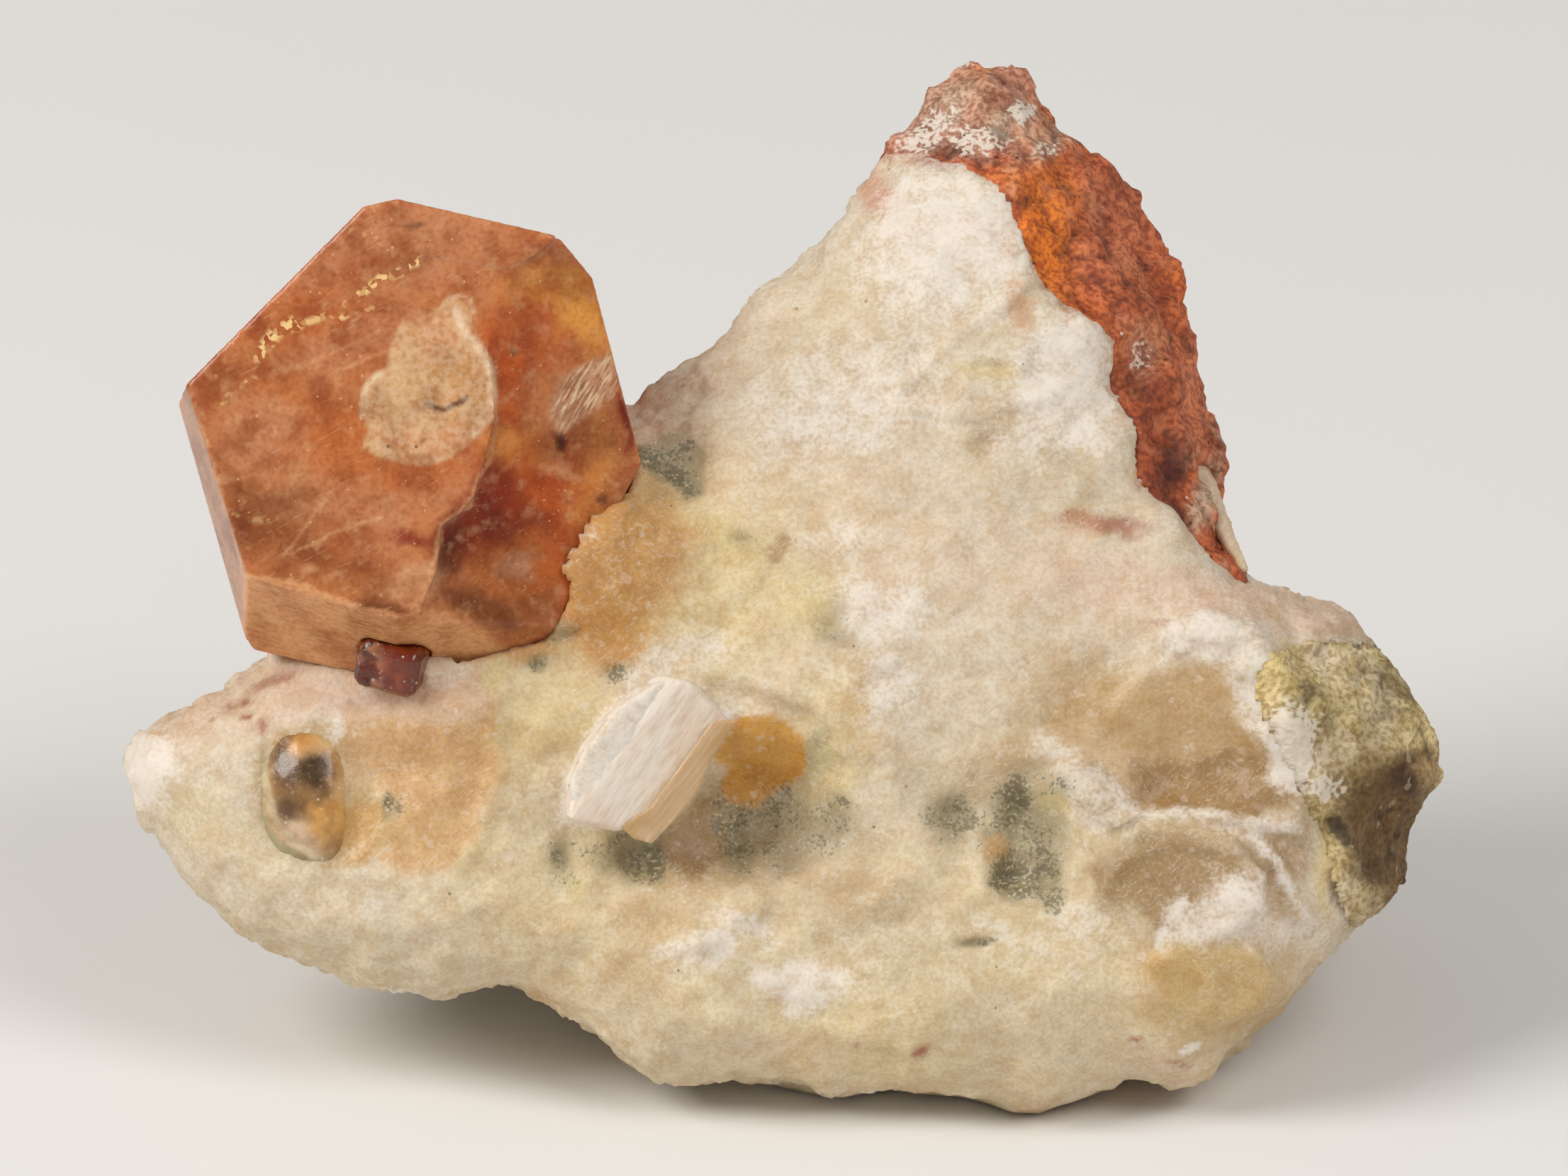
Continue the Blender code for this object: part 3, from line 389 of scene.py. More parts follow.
# Bands: colour, the line that they follow, half their width and strength
BANDS = [
    ("white", [
        (19.0, 9.8), (21.6, 10.6), (24.5, 9.6), (26.4, 6.7), (27.4, 2.9), (28.8, -0.5),
    ], 1.4, 0.6),
    ("white", [(11.0, 1.9), (13.9, -0.5), (16.1, -2.4)], 1.5, 0.5),
    ("white", [(16.1, -2.9), (19.7, -2.2), (23.5, -2.6), (27.4, -3.1)], 0.6, 0.6),
    ("straw", [(14.9, -4.3), (17.8, -2.9), (21.6, -2.4)], 0.3, 0.6),
    ("white", [(24.5, -3.4), (26.4, -5.8), (27.8, -9.1)], 0.4, 0.7),
    ("white", [(18.2, -11.3), (19.0, -9.1), (20.2, -8.2)], 0.3, 0.8),
    ("white", [(-17.0, 7.2), (-16.8, 4.3)], 0.6, 0.6),
    ("olive_green", [(-42.1, 2.9), (-42.0, -0.5), (-41.2, -3.4), (-39.4, -5.3)], 0.3, 0.5),
    ("cream", [(-41.7, 3.4), (-41.6, 0.0), (-40.6, -3.1), (-38.4, -5.5)], 0.2, 0.7),
    ("white", [(13.0, -13.0), (9.1, -11.0), (6.2, -9.6)], 0.5, 0.4),
]

# Stains in the orange crystal
CRYSTAL_SPOTS = [
    ("clay_pink", -34.1, 36.1, 7.7, 3.0, 10, 0.6),
    ("clay_pink", -36.0, 29.6, 4.7, 1.4, 20, 0.5),
    ("clay_pink", -30.9, 34.1, 1.4, 0.9, 20, 0.5),
    ("burnt", -37.4, 23.6, 3.7, 1.9, 0, 0.6),
    ("burnt", -38.3, 30.6, 2.8, 0.8, 25, 0.5),
    ("burnt", -37.4, 33.1, 3.7, 0.7, 30, 0.3),
    ("burnt", -33.6, 20.6, 3.7, 1.4, 0, 0.5),
    ("burnt", -41.1, 25.9, 2.8, 1.2, 0, 0.4),
    ("clay_pink", -42.5, 23.1, 2.6, 3.0, 0, 0.5),
    ("clay_pale", -39.5, 19.9, 0.7, 1.4, 0, 0.5),
    ("clay_pale", -40.4, 24.5, 1.4, 1.4, 0, 0.3),
    ("clay_brown", -41.3, 18.1, 3.0, 1.7, 0, 0.85),
    ("clay_brown", -42.7, 16.3, 1.6, 1.4, 0, 0.7),
    ("clay_brown", -40.4, 16.1, 2.3, 1.4, 0, 0.5),
    ("clay_brown", -44.1, 19.9, 0.9, 2.1, 15, 0.4),
    ("clay_pink", -36.4, 18.7, 4.7, 1.4, 0, 0.5),
    ("clay_pink", -34.1, 16.6, 2.1, 1.4, 0, 0.4),
    ("clay_brown", -36.0, 14.0, 4.2, 1.4, -8, 0.45),
    ("clay_pale", -38.7, 14.3, 0.6, 0.3, 0, 0.7),
    ("clay_pink", -28.8, 18.5, 1.4, 1.9, -30, 0.5),
    # Right of the ledge
    ("ember", -22.9, 31.0, 3.3, 2.8, 0, 0.5),
    ("ember", -25.7, 26.8, 1.4, 4.0, 10, 0.7),
    # Painted light: bright glowing spots where light shines through the crystal near its edges
    ("glow", -20.4, 31.3, 1.6, 2.6, 25, 0.85),
    ("glow", -23.4, 33.4, 2.4, 1.2, 0, 0.4),
    ("glow", -19.6, 21.4, 1.2, 2.6, 0, 0.4),
    ("glow", -19.0, 27.8, 0.9, 0.9, 0, 0.4),
    ("clay_brown", -21.4, 34.1, 1.2, 2.1, 0, 0.35),
    ("glow", -25.0, 22.4, 2.3, 1.2, -10, 0.5),
    ("ember", -23.6, 19.9, 3.3, 2.3, 0, 0.7),
    ("deep_ember", -26.2, 19.9, 1.9, 1.4, 20, 0.7),
    ("deep_ember", -26.0, 17.3, 2.8, 2.6, 0, 0.85),
    ("deep_ember", -28.3, 16.6, 1.6, 2.3, -20, 0.85),
    ("dark_brown", -29.5, 15.4, 0.9, 2.1, -20, 0.6),
    ("ember", -21.3, 15.7, 2.3, 2.6, 0, 0.6),
    ("glow", -20.2, 17.5, 1.2, 1.4, 0, 0.3),
    ("mauve_brown", -25.3, 13.1, 3.7, 2.6, 0, 0.75),
    ("mauve_brown", -24.1, 16.1, 1.4, 1.4, 0, 0.4),
    ("mauve_pale", -24.7, 14.4, 1.2, 0.8, 0, 0.6),
    ("dark_brown", -27.1, 11.7, 2.8, 0.9, -20, 0.6),
    ("clay_brown", -23.4, 11.5, 2.6, 1.2, 10, 0.6),
    ("ember", -20.4, 12.9, 1.4, 2.3, -20, 0.5),
    ("clay_brown", -20.4, 22.9, 2.1, 1.6, 0, 0.7),
    ("clay_pale", -21.8, 20.8, 1.4, 0.3, -20, 0.6),
    ("dark_brown", -22.0, 22.7, 0.4, 0.6, 20, 0.9),
    ("dark_brown", -25.1, 28.9, 0.2, 0.2, 0, 0.9),
    ("dark_brown", -21.4, 18.9, 0.1, 0.1, 0, 0.9),
    ("dark_brown", -19.2, 18.9, 0.4, 0.5, 0, 0.7),
    ("dark_brown", -31.8, 37.4, 0.8, 0.2, 10, 0.6),
    # Painted light: deep red glowing spots where light shines through the crystal
    ("red_glow", -17.7, 24.7, 0.3, 1.4, 14, 0.9),
    ("red_glow", -17.2, 22.9, 0.3, 0.9, -10, 0.7),
    ("red_glow", -32.0, 16.3, 1.2, 0.5, -24, 0.8),
    ("red_glow", -30.6, 16.1, 0.6, 0.3, -10, 0.5),
    ("red_glow", -29.6, 16.4, 0.3, 0.3, 0, 0.8),
    ("clay_pale", -31.8, 13.1, 1.5, 1.4, 0, 0.6),
    ("clay_pale", -30.6, 13.8, 0.5, 0.9, 0, 0.6),
    ("dark_brown", -34.1, 11.0, 1.9, 1.2, -20, 0.6),
    ("dark_brown", -35.7, 10.6, 1.2, 0.9, 0, 0.3),
]

# The crystal's left side with a painted reflection, its striped foot, the facet beside that, the fan of
# cracks and the pale flake
FOOT_PATCH = 1
FAN_PATCH = 3
FLAKE_PATCH = 4
CRYSTAL_PATCHES = [
    # Painted reflection: the left side's pale mauve stands for light reflected from this facet
    ("mauve_pale", [
        (-47.4, 26.8), (-46.3, 24.7), (-45.2, 21.0), (-43.8, 16.4), (-43.3, 14.0), (-43.4, 9.4),
        (-45.0, 13.3), (-46.7, 18.7), (-47.3, 22.7),
    ], 0.8, 0.15),
    # Painted light: the striped foot is laid pale because light shines through this downward facet
    ("clay_light", [
        (-43.2, 13.9), (-39.9, 13.5), (-35.5, 11.7), (-32.7, 11.1), (-31.3, 11.7), (-29.5, 11.3),
        (-26.4, 9.5), (-26.3, 8.2), (-29.5, 7.3), (-31.8, 6.8), (-35.5, 6.8), (-40.4, 7.9),
        (-43.4, 9.2),
    ], 0.75, 0.12),
    ("clay_light", [
        (-30.6, 11.6), (-28.0, 10.9), (-25.6, 9.4), (-25.0, 8.6), (-26.6, 7.8), (-30.0, 7.4),
        (-30.9, 8.8),
    ], 0.5, 0.15),
    ("fan", [
        (-22.7, 24.7), (-22.1, 26.6), (-20.9, 27.8), (-18.5, 28.9), (-18.0, 27.1), (-18.4, 25.9),
        (-19.9, 24.7), (-21.1, 24.0), (-21.9, 23.3), (-22.5, 23.8),
    ], 0.8, 0.25),
    ("flake", [
        (-35.3, 25.7), (-34.9, 26.8), (-33.6, 27.8), (-33.3, 29.6), (-32.5, 31.1), (-31.8, 30.8),
        (-30.6, 31.5), (-29.7, 32.2), (-28.8, 32.5), (-27.9, 31.6), (-27.8, 30.3), (-27.1, 29.2),
        (-26.7, 27.8), (-26.4, 26.4), (-26.4, 24.7), (-27.1, 23.6), (-28.3, 22.4), (-29.5, 21.5),
        (-30.6, 21.1), (-32.3, 21.3), (-34.1, 21.7), (-35.2, 22.4), (-34.8, 23.6), (-35.2, 24.5),
    ], 0.92, 0.12),
]

FLAKE_SPOTS = [
    ("flake_light", -32.5, 25.9, 2.1, 2.1, 0, 0.6),
    ("flake_tan", -30.4, 26.8, 2.1, 1.2, 20, 0.5),
    ("flake_peach", -30.4, 22.9, 2.6, 1.2, 0, 0.7),
    ("flake_peach", -29.9, 30.8, 1.6, 1.4, 0, 0.6),
    ("flake_peach", -33.2, 30.3, 1.2, 1.4, 20, 0.4),
    ("flake_tan", -28.1, 26.4, 0.9, 1.4, 0, 0.4),
    ("flake_light", -27.5, 24.7, 0.7, 1.2, 20, 0.7),
    ("flake_light", -34.1, 22.2, 1.2, 0.4, -14, 0.8),
]

# Bands in the orange crystal. The pale ones along the ledge and along the edges of the left side and the
# foot are painted highlights
CRYSTAL_BANDS = [
    # The flake's pale rim along the ledge: partly its own pale colour, partly a painted highlight of the
    # ledge's edge
    ("flake_white", [
        (-28.9, 31.5), (-28.4, 30.1), (-27.2, 28.9), (-26.6, 27.5), (-26.4, 25.9), (-26.7, 24.4),
        (-27.7, 23.3),
    ], 0.3, 0.9),
    ("flake_white", [(-35.2, 24.7), (-35.2, 25.7), (-34.9, 26.7), (-34.1, 27.4)], 0.21, 0.7),
    ("flake_white", [(-27.8, 31.5), (-28.0, 32.4), (-28.8, 32.6), (-29.7, 32.1)], 0.16, 0.5),
    ("dark_brown", [(-30.9, 25.4), (-29.9, 24.9), (-29.1, 25.1), (-28.3, 25.7)], 0.19, 0.85),
    ("dark_brown", [(-31.3, 22.9), (-31.0, 23.1)], 0.12, 0.5),
    # Painted highlight along the ledge's edge, down to the foot
    ("clay_pale", [
        (-26.3, 24.5), (-26.6, 21.5), (-27.5, 20.3), (-28.0, 18.5), (-29.8, 17.3), (-30.2, 15.4),
        (-30.6, 14.0), (-31.1, 12.2), (-32.0, 11.7),
    ], 0.14, 0.6),
    ("clay_pale", [
        (-39.5, 15.6), (-38.1, 16.1), (-36.9, 16.8), (-35.5, 17.3), (-34.0, 17.7),
    ], 0.12, 0.8),
    ("clay_pale", [(-40.4, 15.2), (-37.4, 19.4)], 0.1, 0.4),
    ("mauve_pale", [(-33.8, 34.2), (-30.4, 35.2), (-25.7, 34.4), (-22.1, 36.3)], 0.12, 0.5),
    # Painted highlights along the edges of the left side and of the foot
    ("clay_pale", [(-46.3, 24.7), (-45.2, 21.0), (-43.8, 16.4), (-43.3, 14.0)], 0.1, 0.5),
    ("clay_pale", [(-43.2, 13.9), (-39.9, 13.5), (-35.5, 11.7), (-32.7, 11.1)], 0.12, 0.6),
    ("clay_light", [(-36.4, 27.8), (-32.7, 29.2), (-30.4, 31.0)], 0.14, 0.5),
    ("clay_light", [(-40.6, 27.4), (-37.4, 28.7), (-34.1, 30.3)], 0.14, 0.5),
]

# Lines of golden flecks in the orange crystal, drawn bright as painted glints: the line, half its width
# and strength
GLITTER = [
    ([(-42.2, 28.6), (-41.6, 29.4), (-41.0, 30.3), (-39.9, 30.7)], 0.51, 1.0),
    ([(-39.5, 30.6), (-37.7, 31.2)], 0.28, 0.8),
    ([(-37.2, 30.9), (-36.4, 31.3)], 0.28, 0.8),
    ([(-36.2, 32.1), (-34.3, 33.5), (-32.7, 34.2)], 0.33, 0.95),
    ([(-34.1, 33.8), (-32.7, 34.2), (-31.8, 34.7), (-31.1, 35.1)], 0.28, 0.95),
    ([(-44.8, 25.4), (-43.4, 26.6), (-42.4, 27.0)], 0.19, 0.5),
    ([(-35.5, 31.5), (-34.1, 31.9)], 0.19, 0.4),
    ([(-36.0, 37.0), (-34.3, 36.6), (-34.1, 36.0)], 0.19, 0.4),
    ([(-43.9, 17.9), (-42.7, 17.5), (-41.1, 17.5)], 0.19, 0.3),
]

# Patches of the stone: colour, outline, strength, softness of the edge and, for glassy ones, gloss
PATCHES = [
    ("tan", [
        (-42.6, 1.5), (-42.6, -0.6), (-41.8, -3.7), (-40.2, -4.8), (-38.5, -5.7), (-36.3, -6.1),
        (-35.2, -5.5), (-34.4, -3.0), (-35.0, 1.0), (-37.0, 3.4), (-40.0, 3.9), (-41.7, 3.1),
    ], 0.8, 0.4, 0.95),
    ("ochre", [
        (-20.6, 19.7), (-15.6, 18.6), (-12.7, 17.3), (-13.9, 13.0), (-16.8, 9.6), (-17.3, 7.9),
        (-20.2, 7.7), (-21.6, 10.6),
    ], 0.75, 1.4, 0.1),
    ("white", [
        (-22.3, -3.2), (-21.8, 0.2), (-20.8, 2.0), (-18.9, 4.8), (-17.1, 6.2), (-15.4, 7.5),
        (-13.0, 6.2), (-11.4, 4.9), (-9.9, 4.8), (-11.0, 2.6), (-13.4, -1.0), (-15.6, -2.7),
        (-18.5, -3.2),
    ], 0.8, 0.7, 0.3),
    ("apricot", [
        (-36.9, 4.8), (-32.4, 5.2), (-27.1, 5.8), (-26.5, 4.1), (-26.3, 1.2), (-27.2, -2.0),
        (-28.1, -4.4), (-29.5, -6.1), (-32.4, -6.3), (-34.2, -5.5), (-33.6, -3.2), (-34.2, 0.0),
        (-36.5, 2.3),
    ], 0.8, 0.4, 0.5),
    ("pink_cream", [
        (-38.3, 5.2), (-34.8, 6.7), (-27.2, 7.0), (-26.9, 4.1), (-30.1, 3.8), (-34.2, 4.1),
        (-36.5, 3.8),
    ], 0.5, 0.4),
    ("mustard", [
        (-37.7, -2.0), (-34.2, -1.5), (-33.6, -3.2), (-34.2, -4.9), (-35.3, -5.8), (-37.1, -4.9),
        (-38.3, -3.8),
    ], 0.55, 0.5, 0.9),
    ("mustard", [
        (-9.9, 4.5), (-6.8, 4.2), (-6.0, 3.4), (-5.3, 2.3), (-5.6, 0.5), (-7.4, -0.5), (-8.8, -1.7),
        (-10.7, -1.0), (-10.9, 0.8), (-11.8, 1.7),
    ], 1.0, 0.15, 0.9),
    ("amber", [
        (-10.8, 0.9), (-7.4, 0.9), (-5.4, 1.4), (-5.6, 0.5), (-7.4, -0.5), (-8.8, -1.7), (-10.7, -1.0),
    ], 0.45, 0.5, 0.9),
    # Painted shadow: a smoky tone just below the blade's free edge, where its overhang shades the hollow
    ("smoke", [
        (-12.6, -1.1), (-10.3, -1.3), (-10.2, -2.6), (-10.4, -5.1), (-12.6, -6.5), (-15.3, -5.9),
        (-15.6, -4.4), (-14.1, -2.9),
    ], 0.85, 0.3, 0.4),
    ("grey_green", [
        (-17.0, 21.5), (-16.0, 22.9), (-14.9, 23.7), (-13.1, 23.3), (-12.2, 21.6), (-12.3, 19.2),
        (-13.3, 18.9), (-14.6, 20.3),
    ], 1.0, 0.4),
    ("charcoal", [
        (-17.0, 21.5), (-16.2, 22.4), (-15.2, 22.2), (-14.2, 21.4), (-12.8, 19.6), (-13.3, 18.9),
        (-14.6, 20.2), (-16.2, 20.8),
    ], 0.85, 0.4),
    ("grey_quartz", [
        (-6.5, -7.7), (-3.1, -6.1), (-0.5, -8.2), (2.7, -8.7), (3.7, -10.8), (1.6, -13.5),
        (-1.0, -14.5), (-3.1, -12.4), (-5.8, -10.8),
    ], 0.4, 0.4, 0.5),
    ("tan", [
        (18.9, 7.5), (22.5, 7.5), (23.6, 4.5), (25.4, 1.9), (27.8, -1.1), (24.8, -2.6), (21.3, -2.1),
        (18.9, -2.4), (16.6, -1.4), (14.8, 0.4), (13.1, 1.6), (10.7, 2.8), (11.0, 5.1), (14.0, 6.6),
        (16.9, 6.3),
    ], 0.8, 0.3, 0.9),
    ("smoke", [
        (16.6, 1.6), (20.1, 1.0), (22.5, 1.9), (24.8, 1.6), (27.5, -1.1), (24.8, -2.5), (21.3, -2.0),
        (18.9, -2.2), (16.3, -1.1),
    ], 0.8, 0.4, 0.9),
    ("smoke", [
        (13.5, -5.8), (17.5, -3.4), (21.0, -3.4), (23.6, -5.2), (24.8, -7.2), (23.1, -6.6),
        (20.1, -8.7), (18.4, -10.7), (16.9, -8.4), (14.8, -8.1),
    ], 0.65, 0.4, 0.8),
    ("honey", [
        (17.5, -11.3), (21.3, -11.0), (24.8, -11.3), (26.0, -13.1), (25.7, -15.4), (23.6, -17.2),
        (20.7, -16.9), (18.9, -14.9), (17.8, -13.1),
    ], 0.6, 0.5, 0.9),
    ("pink_cream", [
        (18.9, 10.7), (23.1, 12.7), (26.3, 12.9), (29.5, 11.9), (32.2, 9.2), (30.7, 9.2), (26.3, 9.5),
        (22.5, 10.7),
    ], 0.45, 0.4),
    ("umber", [
        (30.4, -1.9), (33.0, -1.4), (35.1, -2.5), (36.9, 1.0), (37.7, 1.6), (37.4, -0.2), (35.1, -2.5),
        (34.5, -4.3), (34.6, -6.0), (33.6, -7.8), (31.1, -9.7), (30.4, -8.4), (29.5, -6.6),
        (30.7, -4.3),
    ], 0.8, 0.3),
    ("coal", [
        (28.9, -2.0), (29.9, -2.4), (31.0, -3.1), (30.6, -4.0), (30.2, -4.8), (29.6, -3.8),
        (29.2, -3.0),
    ], 0.8, 0.25),
    ("white", [
        (19.8, 10.4), (22.5, 10.5), (25.4, 9.1), (26.0, 5.4), (26.0, 2.2), (27.5, -0.8), (25.4, 1.9),
        (23.6, 4.5), (22.8, 7.5), (19.8, 8.3), (18.1, 8.0),
    ], 0.6, 0.5),
    ("white", [
        (11.0, 1.6), (14.0, 0.1), (16.4, -2.4), (14.8, -4.3), (12.5, -2.5), (11.0, -0.2),
    ], 0.5, 0.5),
]


# Stains in the rounded smoky crystal
LENS_PATCHES = [
    ("smoke_brown", [
        (-41.6, 2.8), (-40.9, 3.6), (-39.9, 3.9), (-40.2, 2.2), (-39.2, 1.5), (-38.2, 1.8),
        (-36.8, 2.0), (-36.5, 0.6), (-37.3, -1.1), (-38.8, -1.8), (-39.0, -2.8), (-40.0, -2.8),
        (-41.0, -2.1), (-41.5, -0.1),
    ], 0.9, 0.4),
    ("mustard", [
        (-38.8, -1.8), (-36.8, -1.1), (-35.1, -1.8), (-33.3, -3.5), (-35.1, -5.5), (-37.3, -4.8),
        (-38.8, -3.5),
    ], 0.7, 0.5),
]
LENS_SPOTS = [
    ("smoke_dark", -38.2, 0.7, 1.5, 1.2, 10, 0.95),
    ("smoke_dark", -40.6, 1.2, 0.8, 1.6, 10, 0.5),
    ("smoke_dark", -40.4, -2.0, 0.8, 0.8, 0, 0.5),
    ("ochre", -39.2, 2.8, 1.2, 0.9, 20, 0.7),
    ("apricot", -35.8, 1.8, 1.2, 2.8, 0, 0.8),
    ("smoke_brown", -36.0, -4.8, 1.4, 0.8, 0, 0.9),
    ("smoke_dark", -35.8, -5.0, 0.7, 0.4, 0, 0.6),
    ("pink_cream", -39.6, -3.9, 1.4, 0.9, -40, 0.6),
    ("tan", -37.8, -5.2, 1.0, 0.4, -10, 0.6),
]
LENS_BANDS = [
    ("olive_green", [
        (-42.6, 1.8), (-42.6, -0.6), (-41.9, -3.4), (-40.4, -4.8), (-38.4, -5.8), (-36.2, -6.1),
    ], 0.4, 0.9),
    ("straw", [(-41.9, 2.8), (-41.9, 0.2), (-41.2, -2.6), (-39.9, -4.3), (-38.0, -5.3)], 0.28, 0.8),
]

# Hollows and bosses that are carved into the stone: u, v, radius along, radius across, turn and height
CARVINGS = [
    (4.7, -2.4, 1.4, 1.4, 0, -0.8),
    (8.9, -2.2, 1.1, 2.0, 0, -0.8),
    (8.4, -6.4, 1.2, 1.3, 0, -1.2),
    (10.6, -6.5, 0.8, 2.0, 0, -0.7),
    (7.5, -4.6, 0.8, 0.9, 0, 0.5),
    (-16.5, -5.1, 1.5, 1.2, 20, -0.8),
    (-21.6, -5.4, 1.0, 1.5, 15, -0.6),
    (-10.1, -3.4, 0.9, 2.2, 8, -0.6),
    (-33.5, -1.8, 0.6, 1.0, -10, -0.4),
    (-21.6, 9.8, 0.9, 0.6, 20, -0.5),
    (-18.3, 7.6, 0.8, 0.8, 0, -0.5),
    (-23.4, 8.0, 0.7, 0.7, 0, -0.4),
    (-3.6, 10.4, 1.2, 2.0, -35, -0.5),
    (-9.7, 16.3, 0.8, 0.8, 0, -0.4),
    (6.0, -10.9, 1.5, 0.4, 6, -0.6),
    (7.2, 28.0, 1.6, 0.5, -6, -0.35),
    (6.6, 22.8, 1.3, 0.9, 20, -0.4),
    (30.1, -3.1, 0.7, 1.2, -45, -0.5),
    (34.3, -4.6, 3.4, 4.6, 20, -0.7),
    (-5.8, -13.7, 2.6, 1.6, 0, 0.5),
    (-11.5, -16.6, 2.6, 1.7, 0, 0.5),
    (23.8, -7.9, 2.0, 1.4, -20, 0.5),
    (-33.0, 3.4, 4.0, 2.6, 0, 0.4),
    (-21.6, 4.6, 3.0, 2.6, -20, 0.5),
    (14.6, 32.4, 3.4, 4.2, -12, 0.8),
    (19.0, 27.0, 1.8, 2.4, 0, 0.9),
    (21.0, 23.4, 1.6, 1.6, 0, 0.8),
    (14.4, 41.0, 1.8, 1.6, 0, 0.8),
    (6.4, 47.4, 1.8, 1.6, 0, 0.6),
]

# Ridges: the line that each follows, half its width and its height
RIDGES = [
    ([(19.0, 9.8), (21.6, 10.6), (24.5, 9.6), (26.4, 6.7), (27.4, 2.9), (28.8, -0.5)], 1.2, 0.8),
    ([(11.0, 1.9), (13.9, -0.5), (16.1, -2.4)], 1.4, 0.7),
    ([(16.1, -2.9), (19.7, -2.2), (23.5, -2.6), (27.4, -3.1)], 0.8, 0.7),
    ([(24.5, -3.4), (26.4, -5.8), (27.8, -9.1)], 0.6, 0.5),
    ([(14.2, -8.2), (15.8, -5.4), (19.4, -4.0), (23.4, -4.6)], 0.5, 0.35),
    ([(-12.8, -10.9), (-10.5, -9.6), (-8.4, -8.3)], 0.8, 0.5),
    ([(-13.6, -8.6), (-12.2, -12.2), (-9.0, -16.8)], 0.8, 0.4),
    ([(-28.2, 5.6), (-26.2, 4.1), (-26.0, 1.2), (-26.9, -2.0), (-27.8, -4.6)], 0.7, 0.45),
    ([(-4.6, 9.6), (-2.4, 8.4), (0.2, 7.8)], 0.7, 0.4),
    ([(-12.9, 7.6), (-8.4, 6.4), (-4.4, 5.2), (-2.8, 2.4)], 0.8, 0.4),
    ([(0.8, 26.2), (4.6, 29.8), (9.4, 33.6)], 0.5, 0.3),
    ([(1.4, 25.2), (6.2, 24.6), (10.8, 26.0)], 0.5, 0.25),
]

# Tones that drift over all sides of a surface: colour, size, shift of the pattern, start and strength
STONE_DRIFT = [
    ("white", 5.2, 51.0, 0.02, 0.55),
    ("straw", 8.5, 62.0, 0.05, 0.6),
    ("grey_quartz", 6.4, 73.0, 0.12, 0.6),
    ("peach", 9.8, 84.0, 0.1, 0.45),
    ("ochre", 7.0, 95.0, 0.26, 0.6),
    ("olive_green", 4.4, 106.0, 0.34, 0.5),
]
RIND_DRIFT = [
    ("dark_rust", 4.6, 31.0, 0.0, 0.6),
    ("orange", 6.2, 42.0, 0.12, 0.6),
    ("pale_rust", 3.0, 53.0, 0.14, 0.6),
    ("maroon", 2.4, 64.0, 0.24, 0.8),
    ("pale_stone", 3.6, 75.0, 0.36, 0.7),
]
HOST_DRIFT = [
    ("olive", 3.4, 36.0, 0.0, 0.6),
    ("butter", 2.8, 47.0, 0.12, 0.6),
    ("umber", 3.8, 58.0, 0.05, 0.7),
    ("pale_stone", 2.2, 69.0, 0.2, 0.6),
    ("dark_umber", 1.8, 80.0, 0.22, 0.7),
]
CRYSTAL_DRIFT = [
    ("ember", 9.0, 27.0, -0.1, 0.6),
    ("clay_pink", 7.6, 38.0, 0.0, 0.5),
    ("deep_ember", 8.0, 49.0, 0.1, 0.5),
    # Painted light: a glowing tone of light shining through, drifting over the crystal
    ("glow", 6.6, 71.0, 0.2, 0.35),
]

# The translucent lip below the white blade, and how far under the blade's face it lies
BLADE_LIP = [
    (-10.0, 4.2), (-11.0, 2.6), (-12.0, 1.0), (-12.6, -0.6), (-13.5, -1.9), (-14.6, -3.0),
    (-15.8, -4.2), (-17.0, -3.9), (-18.0, -3.0), (-16.0, -1.8), (-13.8, 1.2), (-11.8, 4.0),
]
LIP_DROP = 1.1
LIP_DEPTH = 1.4
BLADE_TURN = math.radians(52.0)


# Mesh tools


def deselect():
    bpy.ops.object.select_all(action="DESELECT")


def only(obj):
    deselect()
    obj.select_set(True)
    bpy.context.view_layer.objects.active = obj
    return obj


def copy_of(node, name):
    """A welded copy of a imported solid."""
    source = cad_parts[node]
    copy = bpy.data.objects.new(name, source.data.copy())
    bpy.context.scene.collection.objects.link(copy)
    copy.data.materials.clear()
    only(copy)
    bpy.ops.object.mode_set(mode="EDIT")
    bpy.ops.mesh.select_all(action="SELECT")
    bpy.ops.mesh.remove_doubles(threshold=0.00001)
    bpy.ops.object.mode_set(mode="OBJECT")
    return copy


def modify(obj, kind, **settings):
    """Adds a modifier and applies it."""
    only(obj)
    modifier = obj.modifiers.new(kind.lower(), kind)
    for key, value in settings.items():
        setattr(modifier, key, value)
    bpy.ops.object.modifier_apply(modifier=modifier.name)
    return obj


def join(parts, name):
    deselect()
    for part in parts:
        part.select_set(True)
    bpy.context.view_layer.objects.active = parts[0]
    bpy.ops.object.join()
    parts[0].name = name
    return parts[0]


def even_mesh(obj, voxel, rounds):
    """Gives a flat-faced piece an even mesh that keeps its flat faces, and rounds its edges a little."""
    form = obj.copy()
    form.data = obj.data.copy()
    bpy.context.scene.collection.objects.link(form)
    modify(obj, "REMESH", mode="VOXEL", voxel_size=voxel * MM)
    modify(obj, "SHRINKWRAP", target=form, wrap_method="NEAREST_SURFACEPOINT")
    modify(obj, "SMOOTH", iterations=rounds, factor=0.5)
    bpy.data.objects.remove(form)
    only(obj)
    bpy.ops.object.shade_smooth()


def fine_copy(node, name, rounds):
    """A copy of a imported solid, grown over its gap and evenly meshed."""
    piece = copy_of(node, name)
    if node in GROWTH:
        modify(piece, "DISPLACE", strength=GROWTH[node] * MM, mid_level=0.0)
    even_mesh(piece, FINE_MESH[node], rounds)
    return piece


def points_of(obj):
    """Vertices in the face frame, in millimetres, one row each."""
    flat = np.empty(len(obj.data.vertices) * 3)
    obj.data.vertices.foreach_get("co", flat)
    turn = np.array(TO_FACE.to_3x3())
    return (flat.reshape(-1, 3) / MM) @ turn.T + np.array(TO_FACE.translation)


